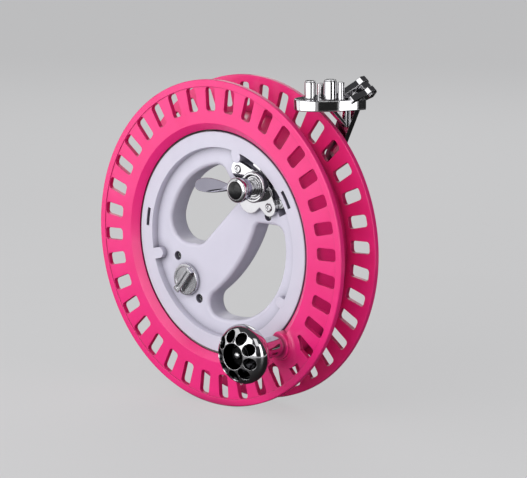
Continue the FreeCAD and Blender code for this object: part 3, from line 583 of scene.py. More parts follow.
def rubbed_edges() -> Tree:
    """Mask of the edges that hands rub, and the softened normal along them.

    Returns:
        The node group.
    """
    board, given = start_group("rubbed_edges", {"Vector": "Vector", "Amount": "Float", "Width": "Float"},
                               {"Mask": "Float", "Normal": "Vector"})
    soft = board.add("ShaderNodeBevel", {"Radius": given.outputs[2]}, samples=4).outputs[0]
    hard = board.add("ShaderNodeNewGeometry").outputs["Normal"]
    turned = board.add("ShaderNodeVectorMath", {0: soft, 1: hard}, operation="DOT_PRODUCT").outputs["Value"]
    edge = board.span(turned, 0.99, 0.8, 0.0, 1.0)
    patches = board.span(board.noise(given.outputs[0], 260.0, 4.0), 0.35, 0.65, 0.3, 1.0)
    return board.close(board.product(edge, patches, given.outputs[1]), soft)


def painted_crease_shade() -> Tree:
    """Mask of the painted shade that darkens corners and gaps.

    Returns:
        The node group.
    """
    board, given = start_group("painted_crease_shade", {"Amount": "Float", "Reach": "Float"}, {"Mask": "Float"})
    near = board.add("ShaderNodeAmbientOcclusion", {"Distance": given.outputs[1]}, samples=8).outputs["AO"]
    return board.close(board.product(board.span(near, 0.25, 0.95, 1.0, 0.0), given.outputs[0]))


def fine_dust() -> Tree:
    """Mask of the dust that settles on faces that look up.

    Returns:
        The node group.
    """
    board, given = start_group("fine_dust", {"Vector": "Vector", "Amount": "Float"}, {"Mask": "Float"})
    normal = board.add("ShaderNodeNewGeometry").outputs["Normal"]
    upward = board.add("ShaderNodeSeparateXYZ", {0: normal}).outputs[2]
    lying = board.span(upward, 0.35, 1.0, 0.0, 1.0)
    specks = board.span(board.noise(given.outputs[0], 900.0, 5.0), 0.45, 0.75, 0.1, 1.0)
    return board.close(board.product(lying, specks, given.outputs[1]))


def handled_gloss() -> Tree:
    """Roughness that changes where fingers have touched a polished surface, and its faint scratches.

    Returns:
        The node group.
    """
    board, given = start_group("handled_gloss", {"Vector": "Vector", "Clean": "Float", "Touched": "Float"},
                               {"Roughness": "Float", "Height": "Float"})
    vector = given.outputs[0]
    patches = board.noise(vector, 70.0, 4.0)
    roughness = board.span(patches, 0.42, 0.68, given.outputs[1], given.outputs[2])
    stretch = board.add("ShaderNodeMapping", {"Vector": vector, "Scale": (900.0, 60.0, 900.0)}).outputs[0]
    scratches = board.span(board.noise(stretch, 1.0, 2.0), 0.62, 0.72, 0.0, 1.0)
    return board.close(roughness, scratches)


def turning_marks() -> Tree:
    """Fine rings that a lathe leaves round the Y axis of its vector.

    Returns:
        The node group.
    """
    board, given = start_group("turning_marks", {"Vector": "Vector", "Pitch": "Float"}, {"Height": "Float"})
    parts = board.add("ShaderNodeSeparateXYZ", {0: given.outputs[0]})
    squares = [board.product(parts.outputs[index], parts.outputs[index]) for index in (0, 2)]
    reach = board.maths("SQRT", board.maths("ADD", *squares))
    phase = board.maths("DIVIDE", reach, given.outputs[1])
    wave = board.maths("SINE", board.product(phase, TURN))
    return board.close(board.span(wave, -1.0, 1.0, 0.0, 1.0))


GROUP_MAKERS = {
    maker.__name__: maker
    for maker in (moulded_grain, rubbed_edges, painted_crease_shade, fine_dust, handled_gloss, turning_marks)
}
DUST_COLOUR = (0.55, 0.53, 0.5, 1.0)
# colour of the painted shade on the inner walls of the crank knob's hollow
HOLLOW_SHADE_COLOUR = (0.02, 0.02, 0.022, 1.0)


@dataclass(frozen=True)
class Finish:
    """What every finish has: a name, a material slot and its colours."""

    title: str
    slot: Slot
    colour: Colour
    shade: Colour
    worn: Colour
    wear: float = 0.3
    dust: float = 0.12
    edge: float = 0.35
    # painted shade in corners and gaps: how strong it is, how far it reaches and its colour
    crease_shade: float = 0.0
    reach: float = 5.0
    crease_shade_colour: Colour = (0.02, 0.02, 0.02)

    def material(self) -> Material:
        """The finish's material, made on first use."""
        known = bpy.data.materials.get(self.title)
        if known is not None:
            return known
        material, board = start_material(self.title)
        material.diffuse_color = (*self.colour, 1.0)
        place = board.add("ShaderNodeTexCoord").outputs["Object"]
        surface = board.add("ShaderNodeBsdfPrincipled")
        board.add("ShaderNodeOutputMaterial", {"Surface": surface.outputs[0]})
        self.paint(board, place, surface)
        return material

    def use(self, board: Board, name: str, sockets: dict) -> Node:
        """Place a shared effect in the material, with values for its inputs."""
        tree = bpy.data.node_groups.get(name) or GROUP_MAKERS[name]()
        return board.add("ShaderNodeGroup", sockets, node_tree=tree)

    def tinted(
        self, board: Board, place: Socket, mottle: Socket,
    ) -> tuple[Socket, Socket]:
        """Colour with its mottling, rubbed edges, dust and painted shade in corners and gaps.

        Args:
            board: the material's nodes.
            place: the pattern's coordinates.
            mottle: mask between the two colours.

        Returns:
            The colour and the normal softened at the edges.
        """
        base = board.blend(mottle, (*self.colour, 1.0), (*self.shade, 1.0))
        sockets = {"Vector": place, "Amount": self.wear, "Width": self.edge * MM}
        edges = self.use(board, "rubbed_edges", sockets)
        rubbed = board.blend(edges.outputs["Mask"], base, (*self.worn, 1.0))
        dust = self.use(board, "fine_dust", {"Vector": place, "Amount": self.dust})
        colour = board.blend(dust.outputs[0], rubbed, DUST_COLOUR)
        # painted shade: corners and gaps darken towards the crease shade colour
        if self.crease_shade > 0:
            crease_shade_mask = self.use(board, "painted_crease_shade", {"Amount": self.crease_shade, "Reach": self.reach * MM})
            colour = board.blend(crease_shade_mask.outputs[0], colour, (*self.crease_shade_colour, 1.0))
        return colour, edges.outputs["Normal"]

    def paint(self, board: Board, place: Socket, surface: Node) -> None:
        """Join the finish's nodes to its shader."""
        raise NotImplementedError


@dataclass(frozen=True)
class Plastic(Finish):
    """Moulded plastic with mould grain and a clear skin."""

    roughness: float = 0.35
    gloss: float = 0.3
    grain: float = 2400.0
    depth: float = 0.012
    shine: float = 0.5

    def paint(self, board: Board, place: Socket, surface: Node) -> None:
        """Join the finish's nodes to its shader."""
        grain = self.use(board, "moulded_grain", {"Vector": place, "Scale": self.grain})
        colour, normal = self.tinted(board, place, grain.outputs["Mottle"])
        low, high = self.roughness - 0.03, self.roughness + 0.05
        board.fill(surface, {
            "Base Color": colour,
            "Roughness": board.span(grain.outputs["Mottle"], 0.0, 1.0, low, high),
            "Coat Weight": self.gloss,
            "Coat Roughness": 0.12,
            "Specular IOR Level": self.shine,
            "Normal": board.bump(grain.outputs["Height"], self.depth, 0.6, normal),
        })


@dataclass(frozen=True)
class Metal(Finish):
    """Bare or plated metal, polished or turned."""

    clean: float = 0.05
    touched: float = 0.14
    ring_pitch: float = 0.0
    ring_depth: float = 0.02
    centre: Colour = (0.0, 0.0, 0.0)
    # size of the hollow whose inner walls get painted shade; zero for none
    hollow: Colour = (0.0, 0.0, 0.0)

    def paint(self, board: Board, place: Socket, surface: Node) -> None:
        """Join the finish's nodes to its shader."""
        mottle = board.span(board.noise(place, 45.0, 3.0), 0.35, 0.65, 0.0, 1.0)
        colour, normal = self.tinted(board, place, mottle)
        sockets = {"Vector": place, "Clean": self.clean, "Touched": self.touched}
        gloss = self.use(board, "handled_gloss", sockets)
        height = board.product(gloss.outputs["Height"], 0.15)
        centred = board.add("ShaderNodeVectorMath", {0: place, 1: [v * MM for v in self.centre]},
                            operation="SUBTRACT").outputs[0]
        if self.ring_pitch > 0:
            rings = self.use(board, "turning_marks", {"Vector": centred, "Pitch": self.ring_pitch * MM})
            height = board.maths("ADD", height, rings.outputs[0])
        # painted shade: the hollow's inner walls darken to the hollow shade colour
        if self.hollow[0] > 0:
            colour = board.blend(self.inside(board, centred), colour, HOLLOW_SHADE_COLOUR)
        board.fill(surface, {
            "Base Color": colour, "Roughness": gloss.outputs["Roughness"], "Metallic": 1.0,
            "Normal": board.bump(height, self.ring_depth, 0.35, normal),
        })

    def inside(self, board: Board, centred: Socket) -> Socket:
        """Mask of the inner walls of a hollow oval, which get painted shade.

        Args:
            board: the material's nodes.
            centred: coordinates counted from the oval's middle.

        Returns:
            The mask.
        """
        x, y, z = board.add("ShaderNodeSeparateXYZ", {0: centred}).outputs
        across, front, behind = (value * MM for value in self.hollow)
        ahead = board.maths("DIVIDE", board.maths("MINIMUM", y, 0.0), front)
        after = board.maths("DIVIDE", board.maths("MAXIMUM", y, 0.0), behind)
        share = board.add("ShaderNodeCombineXYZ", {
            0: board.maths("DIVIDE", x, across), 1: board.maths("ADD", ahead, after),
            2: board.maths("DIVIDE", z, across),
        }).outputs[0]
        reach = board.add("ShaderNodeVectorMath", {0: share}, operation="LENGTH").outputs["Value"]
        return board.span(reach, 0.955, 0.99, 1.0, 0.0)


# the pink and white mouldings get painted shade in their corners and gaps
PINK = Plastic("pink_moulding", Slot.PINK, (0.95, 0.02, 0.235), (0.90, 0.015, 0.205), (0.96, 0.10, 0.33),
               roughness=0.38, gloss=0.3, crease_shade=0.95, reach=9.0, crease_shade_colour=(0.17, 0.0, 0.035))
WHITE = Plastic("white_moulding", Slot.WHITE, (0.70, 0.68, 0.795), (0.665, 0.645, 0.76), (0.78, 0.76, 0.86),
                roughness=0.42, gloss=0.15, crease_shade=0.9, reach=7.0, crease_shade_colour=(0.08, 0.07, 0.11))
NYLON = Plastic("natural_nylon", Slot.NYLON, (0.56, 0.53, 0.46), (0.5, 0.47, 0.41), (0.62, 0.6, 0.54),
                roughness=0.55, gloss=0.0)
BLACK = Plastic("black_cap", Slot.BLACK, (0.006, 0.006, 0.007), (0.01, 0.01, 0.011), (0.03, 0.03, 0.03),
                roughness=0.22, gloss=0.15, wear=0.1, dust=0.03, shine=0.25)
RUBBER = Plastic("brake_rubber", Slot.RUBBER, (0.018, 0.018, 0.018), (0.026, 0.025, 0.024),
                 (0.06, 0.06, 0.06), roughness=0.8, gloss=0.0, depth=0.04)
CHROME = Metal("chrome_plate", Slot.CHROME, (0.56, 0.555, 0.57), (0.52, 0.515, 0.53), (0.66, 0.66, 0.67),
               wear=0.2, dust=0.04, clean=0.035, touched=0.1)
STEEL = Metal("bright_steel", Slot.STEEL, (0.58, 0.58, 0.60), (0.50, 0.50, 0.52), (0.7, 0.7, 0.7),
              clean=0.16, touched=0.3, dust=0.06)
# the screw heads get painted shade where they sit in their holes
SCREW = replace(STEEL, title="sunk_screw_steel", crease_shade=0.9)
# painted shade: the knob screw sits in the knob's dark hollow, so its steel is made near black
SCREW_SHADE_STEEL = Metal("screw_painted_shade", Slot.STEEL, (0.03, 0.03, 0.032), (0.02, 0.02, 0.02), (0.1, 0.1, 0.1),
                   clean=0.25, touched=0.4, dust=0.03)
LEVER = replace(CHROME, title="lever_chrome", colour=(0.33, 0.32, 0.38), shade=(0.29, 0.28, 0.34))


# ---------------------------------------------------------------- dressing


def coat(piece: Piece, finish: Finish) -> None:
    """Give a piece its finish's material and no other."""
    piece.data.materials.clear()
    piece.data.materials.append(finish.material())


def dress(piece: Piece, finish: Finish, body: Body, *nodes: str, angle: float = 32.0) -> None:
    """Shade a finished piece and give it its material, its body and the solids that it stands for.

    Args:
        piece: the piece.
        finish: its finish.
        body: the body that it moves with.
        *nodes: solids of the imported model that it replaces.
        angle: greatest angle between faces that are shaded as one, in degrees.
    """
    smooth(piece, angle)
    coat(piece, finish)
    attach(piece, body.value)
    if nodes:
        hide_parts(*nodes)
    LOG.info("%s: %d faces, %s, on %s", piece.name, len(piece.data.polygons), finish.title, body.value)


def dress_copy(name: str, node: str, finish: Finish, body: Body, edge: float) -> None:
    """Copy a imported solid, round its edges by a width in millimetres, and dress it."""
    piece = packed_copy(name, node)
    soften(piece, edge)
    dress(piece, finish, body, node)


def paint_solids(finish: Finish, *nodes: str) -> None:
    """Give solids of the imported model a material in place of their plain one."""
    for node in nodes:
        coat(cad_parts[node], finish)
        LOG.info("%s: packed solid, %s", node, finish.title)


# ---------------------------------------------------------------- drum


@dataclass
class Drum:
    """The turning drum: two slotted flanges and the core between them."""

    radius: float = 110.0
    half_width: float = 19.0
    thickness: float = 4.0
    lip_step: float = 0.5
    lip_width: float = 4.7
    bore: float = 76.2
    cone: float = 80.8
    bore_depth: float = 4.6
    spigot: float = 2.0
    spigot_radius: float = 80.2
    slots: int = 36
    slot_phase: float = 3.3
    slot_inner: float = 89.0
    slot_outer: float = 105.0
    slot_width: float = 8.2
    slot_corner: float = 2.2
    boss_angle: float = -45.4
    boss_reach: float = 83.6
    boss_radius: float = 9.2
    boss_height: float = 5.0
    boss_sink: float = 0.4
    bore_play: float = 0.25
    foot_shift: float = 1.6
    foot_lap: float = 0.5
    foot_width: float = 6.0
    flare_width: float = 6.4
    flare_height: float = 3.6
    land_gap: float = 0.6

    def build(self) -> None:
        """Make the flanges and dress the core and the bearing."""
        front = combine(self.flange("front_rim", -1), "UNION", self.crank_boss())
        dress(front, PINK, Body.DRUM, "front_flange")
        dress(self.flange("back_rim", 1), PINK, Body.DRUM, "back_flange")
        paint_solids(PINK, "drum_core")
        paint_solids(NYLON, "bearing_spacers", "ball_cage")
        paint_solids(STEEL, "drum_screws", "outer_race", "inner_race", "bearing_balls")

    def flange(self, name: str, side: int) -> Piece:
        """Make one flange: a band of slots, with the lip outside it and the cone inside.

        Args:
            name: name of the piece.
            side: -1 at the crank side, 1 at the back.

        Returns:
            The piece.
        """
        piece = begin(name)
        face = side * self.half_width
        inward = -side
        sunk = face + inward * self.lip_step
        inside = face + inward * self.thickness
        lip = self.radius - self.lip_width
        land = self.slot_inner - self.land_gap
        self.slot_sector(piece, sunk, inside, land, lip)
        bpy.ops.mesh.select_all(action="SELECT")
        share = (self.slots - 1) / self.slots
        bpy.ops.mesh.spin(steps=self.slots - 1, dupli=True, angle=TURN * share, center=(0, 0, 0), axis=ALONG)
        outer = rounded([
            (lip, sunk, 0), (lip, face, 0.2), (self.radius, face, 0.9), (self.radius, inside, 0.5),
            (lip, inside, 0),
        ], closed=False)
        inner = rounded([
            (land, sunk, 0), (self.cone, sunk, 0.8), (self.bore, face + inward * self.bore_depth, 0.4),
            (self.bore, inside + inward * self.spigot, 0.2),
            (self.spigot_radius, inside + inward * self.spigot, 0.2),
            (self.spigot_radius, inside, 0), (land, inside, 0),
        ], closed=False)
        start = self.slot_phase - 180.0 / self.slots
        for profile in (outer, inner):
            draw(piece, [polar(radius, start, y) for radius, y in profile])
            bpy.ops.mesh.spin(steps=360, angle=TURN, center=(0, 0, 0), axis=ALONG)
        return settle(piece, merge=0.01)

    def slot_sector(self, piece: Piece, sunk: float, inside: float, land: float, lip: float) -> None:
        """Draw the band round one slot, from its outer face to its inner one.

        Args:
            piece: piece that is being edited.
            sunk: place of the outer face.
            inside: place of the inner face.
            land: inner radius of the band.
            lip: outer radius of the band.
        """
        outwards = polar(1, self.slot_phase)
        sideways = polar(1, self.slot_phase + 90)
        half = self.slot_width / 2
        step = 180.0 / self.slots
        hole = oblong(self.slot_inner, self.slot_outer, half, self.slot_corner)
        draw(piece, [outwards * r + sideways * t + ALONG * sunk for r, t in hole], closed=True)
        turns = [self.slot_phase - step + step * index / 5 for index in range(11)]
        border = [polar(lip, turn, sunk) for turn in turns]
        border += [polar(land, turn, sunk) for turn in reversed(turns)]
        draw(piece, border, closed=True)
        bpy.ops.mesh.select_all(action="SELECT")
        bpy.ops.mesh.bridge_edge_loops()
        bpy.ops.mesh.select_all(action="SELECT")
        bpy.ops.mesh.extrude_region_move(TRANSFORM_OT_translate={"value": ALONG * (inside - sunk) * MM})

        def on_border(wall: bmesh.types.BMFace) -> bool:
            """Whether a face is a wall along the band's border."""
            if abs(wall.normal.y) > 0.5:
                return False
            centre = wall.calc_center_median() / MM
            reach = centre.dot(outwards)
            aside = abs(math.degrees(math.atan2(centre.dot(sideways), reach)))
            far = math.hypot(centre.x, centre.z)
            return aside > step - 0.1 or far < land + 0.2 or far > lip - 0.15

        pick(piece, "FACE", on_border)
        bpy.ops.mesh.delete(type="FACE")
        pick(piece, "EDGE", lambda e: len(e.link_faces) == 2
             and abs(abs(e.link_faces[0].normal.y) - abs(e.link_faces[1].normal.y)) > 0.5)
        bpy.ops.mesh.bevel(offset=0.22 * MM, segments=2, affect="EDGES")

    def crank_boss(self) -> Piece:
        """Make the boss that carries the crank stem, with its flared foot.

        Returns:
            The boss, cut clear of the bore.
        """
        face = -self.half_width + self.lip_step
        inside = -self.half_width + self.thickness - self.boss_sink
        top = face - self.boss_height
        boss = turned("crank_boss", [
            (0, top, 0), (self.boss_radius, top, 0.8), (self.boss_radius, inside, 0), (0, inside, 0),
        ], polar(self.boss_reach, self.boss_angle), steps=72)
        edge = self.bore + self.bore_play
        combine(boss, "DIFFERENCE", rod("bore_trim", edge, -40, 0, Vector(), steps=180))
        low = self.boss_radius - self.foot_lap
        rim = low + self.foot_width
        start = face - self.flare_height
        flare = [(low + self.flare_width * (1 - math.cos(turn)), start + self.flare_height * math.sin(turn))
                 for turn in quarter(9)]
        foot = lathe("boss_foot", [(0, start), *flare, (rim, face + 0.3), (rim, inside), (0, inside)],
                     polar(self.boss_reach + self.foot_shift, self.boss_angle), steps=72)
        slope = [(0, -40), (self.cone + 4, -40), (self.cone + 3.4, -24), (self.cone, face + 0.3),
                 (edge + 0.2, -13.8), (edge + 0.2, 0), (0, 0)]
        combine(foot, "DIFFERENCE", lathe("cone_trim", slope, Vector(), steps=180))
        return combine(boss, "UNION", foot)


# ---------------------------------------------------------------- hub


@dataclass
class Hub:
    """The grip hub: front and back shells, their screws and the turn knob."""

    turn_place: Spot = (-35.0, -30.0)
    turn_radius: float = 10.8
    turn_angle: float = 51.0
    turn_height: float = 2.6
    spindle_radius: float = 2.5
    spindle_end: float = 8.2
    bar_half: float = 2.7
    bar_inset: float = 0.5
    bar_rise: float = 3.0
    bar_depth: float = 4.5
    groove_reach: float = 8.0
    groove_half: float = 0.7
    groove_rise: float = 4.0
    groove_depth: float = 1.8
    face: float = -10.3
    boss_places: tuple[Spot, ...] = ((61.0, 77.0), (62.4, 328.2))
    boss_profile: tuple[Spot, ...] = ((0, -14.45), (3.5, -14.45), (3.7, -14.25), (3.7, -9.0), (0, -9.0))

    def build(self) -> None:
        """Make and dress the hub's pieces."""
        front = packed_copy("front_shell", "hub_front", "grip_front")
        for place in self.boss_places:
            combine(front, "UNION", lathe("wall_boss", self.boss_profile, polar(*place), steps=64))
        dress(front, WHITE, Body.HUB, "hub_front", "grip_front", angle=25)
        back = packed_copy("back_shell", "hub_back", "grip_rear")
        dress(back, WHITE, Body.HUB, "hub_back", "grip_rear", angle=25)
        dress_copy("hub_screw_heads", "hub_screws", SCREW, Body.HUB, 0.12)
        dress_copy("shell_screw_heads", "shell_screws", SCREW, Body.HUB, 0.12)
        self.turn_knob()

    def turn_knob(self) -> None:
        """Make the round knob with its raised bar, and its clip at the back."""
        x, z = self.turn_place
        top = self.face - self.turn_height
        radius = self.turn_radius
        disc = turned("turn_disc", [
            (0, top + 0.35, 0), (radius - 2.2, top + 0.35, 0), (radius - 1.9, top, 0.2), (radius, top, 0.7),
            (radius, self.face, 0.2), (self.spindle_radius, self.face, 0),
            (self.spindle_radius, self.spindle_end, 0.3), (0, self.spindle_end, 0),
        ], Vector((x, 0, z)), steps=120)
        reach = radius - self.bar_inset
        bar = oblong(-reach, reach, self.bar_half, 0.8)
        grip = self.plank("turn_bar", bar, top - self.bar_rise, self.bar_depth)
        groove = oblong(-self.groove_reach, self.groove_reach, self.groove_half, 0.6)
        channel = self.plank("turn_groove", groove, top - self.groove_rise, self.groove_depth)
        combine(grip, "DIFFERENCE", channel)
        soften(grip, 0.45, segments=3)
        knob = combine(disc, "UNION", grip)
        knob.name = "turn_knob_face"
        silver = Metal("turned_silver", Slot.SILVER, (0.62, 0.62, 0.65), (0.55, 0.55, 0.58),
                       (0.75, 0.75, 0.77), clean=0.22, touched=0.34, ring_pitch=0.55, ring_depth=0.05,
                       centre=(x, 0.0, z))
        dress(knob, silver, Body.LATCH, "turn_knob")
        paint_solids(STEEL, "turn_clip")

    def plank(self, name: str, outline: Sequence[Spot], front: float, depth: float) -> Piece:
        """Plate that lies along the turn knob's bar and reaches back from a depth.

        Args:
            name: name of the piece.
            outline: (along, across) points counted from the knob's middle.
            front: place of its front face.
            depth: how far it reaches back.

        Returns:
            The plate.
        """
        x, z = self.turn_place
        along, across = polar(1, self.turn_angle), polar(1, self.turn_angle + 90)
        corners = [Vector((x, 0, z)) + along * u + across * v + ALONG * front for u, v in outline]
        return slab(name, corners, ALONG * depth)


# ---------------------------------------------------------------- brake


@dataclass
class Brake:
    """The brake: plate, collar, spindle, leaf lever, cup knob and the shoe behind the plate."""

    reach: float = 52.42
    angle: float = 53.065
    floor: float = -10.0
    plate: float = 3.0
    collar_radius: float = 10.4
    collar_height: float = 5.2
    spindle_radius: float = 5.0
    lever_front: float = -28.8
    lever_thickness: float = 3.6
    lever_direction: float = 182.2
    twist: float = 24.0
    knob_radius: float = 8.4
    knob_height: float = 5.0
    cap_radius: float = 7.1
    ring_bore: float = 5.05
    ring_radius: float = 7.4
    leaf_section: tuple[Spot, ...] = (
        (5.2, 0.0), (3.4, 0.55), (0.0, 0.7), (-3.4, 0.75), (-5.2, 0.6), (-5.0, -0.7), (-3.0, -1.0),
        (0.0, -0.9), (3.4, -0.6),
    )
    leaf_stations: tuple[tuple[float, float, float, float], ...] = (
        (6.0, 0.40, 1.0, 0.0), (10.0, 0.42, 0.95, 0.1), (15.0, 0.56, 0.95, 0.3), (22.0, 0.88, 1.0, 0.6),
        (30.0, 1.05, 1.0, 0.9), (37.0, 1.0, 1.0, 1.0), (41.5, 0.72, 0.9, 1.0), (43.3, 0.3, 0.5, 1.0),
    )

    @property
    def centre(self) -> Vector:
        """Point where the spindle's axis meets the drum's middle plane."""
        return polar(self.reach, self.angle)

    def build(self) -> None:
        """Make and dress the brake's pieces."""
        for name, node, body, edge in (
            ("brake_base", "brake_plate", Body.HUB, 0.4),
            ("brake_screw_heads", "brake_screws", Body.HUB, 0.12),
            ("spindle_bar", "brake_spindle", Body.ARM, 0.3),
            ("shoe_block", "brake_shoe", Body.BLOCK, 0.3),
        ):
            dress_copy(name, node, CHROME, body, edge)
        paint_solids(STEEL, "spring_post", "return_spring")
        paint_solids(RUBBER, "brake_pad")
        self.collar()
        self.lever()
        self.cup()

    def collar(self) -> None:
        """Make the stepped collar with the ring-shaped recess in its face."""
        base = self.floor - self.plate
        top = base - self.collar_height
        outer, inner = self.collar_radius, self.spindle_radius + 0.05
        ring = turned("spindle_collar", [
            (inner, base, 0), (outer, base, 0.2), (outer, top, 0.9), (outer - 2.0, top, 0.3),
            (outer - 2.8, top + 1.6, 0.3), (inner + 1.4, top + 1.6, 0.3), (inner + 1.0, top + 0.4, 0.2),
            (inner, top + 0.4, 0.1),
        ], self.centre, steps=120, closed=True)
        dress(ring, CHROME, Body.HUB, "brake_collar")

    def lever(self) -> None:
        """Make the ring that clamps the lever to the spindle, and join the leaf to it."""
        front, back = self.lever_front, self.lever_front + self.lever_thickness
        leaf = self.leaf()
        ring = turned("lever_ring", [
            (self.ring_bore, front, 0.2), (self.ring_radius, front, 0.6), (self.ring_radius, back, 0.6),
            (self.ring_bore, back, 0.2),
        ], self.centre, closed=True)
        combine(ring, "UNION", leaf)
        ring.name = "finger_lever"
        dress(ring, LEVER, Body.ARM, "brake_lever", angle=50)

    def leaf(self) -> Piece:
        """Draw the leaf's section at stations, each with its width, thickness and share of the twist.

        Returns:
            The leaf.
        """
        along = polar(1, self.lever_direction)
        across = polar(1, self.lever_direction + 90)
        base = self.centre + ALONG * (self.lever_front + self.lever_thickness / 2)

        def lies_at(edge: bmesh.types.BMEdge, *places: float) -> bool:
            """Whether an edge lies in the section at one of these distances."""
            reaches = [(v.co / MM - base).dot(along) for v in edge.verts]
            return any(all(abs(reach - place) < 0.05 for reach in reaches) for place in places)

        leaf = begin("lever_leaf")
        before = None
        for distance, width, thick, twist in self.leaf_stations:
            turn = math.radians(self.twist * twist)
            loop = []
            for u, v in self.leaf_section:
                u, v = u * width, v * thick
                loop.append(base + along * distance + across * (u * math.cos(turn) - v * math.sin(turn))
                            - ALONG * (u * math.sin(turn) + v * math.cos(turn)))
            draw(leaf, loop, closed=True)
            if before is not None:
                ends = (before, distance)
                pick(leaf, "EDGE", lambda e, d=ends: len(e.link_faces) < 2 and lies_at(e, *d))
                bpy.ops.mesh.bridge_edge_loops()
            before = distance
        for station in (self.leaf_stations[0], self.leaf_stations[-1]):
            pick(leaf, "EDGE", lambda e, d=station[0]: lies_at(e, d))
            bpy.ops.mesh.edge_face_add()
        settle(leaf)
        modify(leaf, "SUBSURF", levels=2, render_levels=2)
        return leaf

    def cup(self) -> None:
        """Make the cup-shaped knob with its wide round lip, and the domed black cap that sits in it."""
        base = self.lever_front - 0.1
        top = base - self.knob_height
        radius, rim = self.knob_radius, self.cap_radius - 1.0
        sweep = quarter(10)
        lip = [(rim + (radius - rim) * math.cos(turn), top + 1.2 - 1.7 * math.sin(turn)) for turn in sweep]
        cup = lathe("knob_cup", rounded([
            (3.05, base, 0), (radius - 1.4, base, 0.8), (radius, base - 1.6, 0.8), (radius, top + 1.4, 0),
        ], closed=False) + lip + [
            (rim, top + 1.4), (0, top + 1.4), (0, self.lever_front - 2.85), (3.05, self.lever_front - 2.85),
        ], self.centre, steps=120, closed=True)
        dress(cup, CHROME, Body.CUP, "brake_knob")
        dome = [(rim * math.cos(turn), top - 0.35 - 2.0 * math.sin(turn)) for turn in sweep]
        cap = lathe("knob_cap", [(0, top + 1.4), (rim, top + 1.4)] + dome, self.centre, steps=96)
        dress(cap, BLACK, Body.CUP, "brake_knob_cap", angle=60)


# ---------------------------------------------------------------- crank


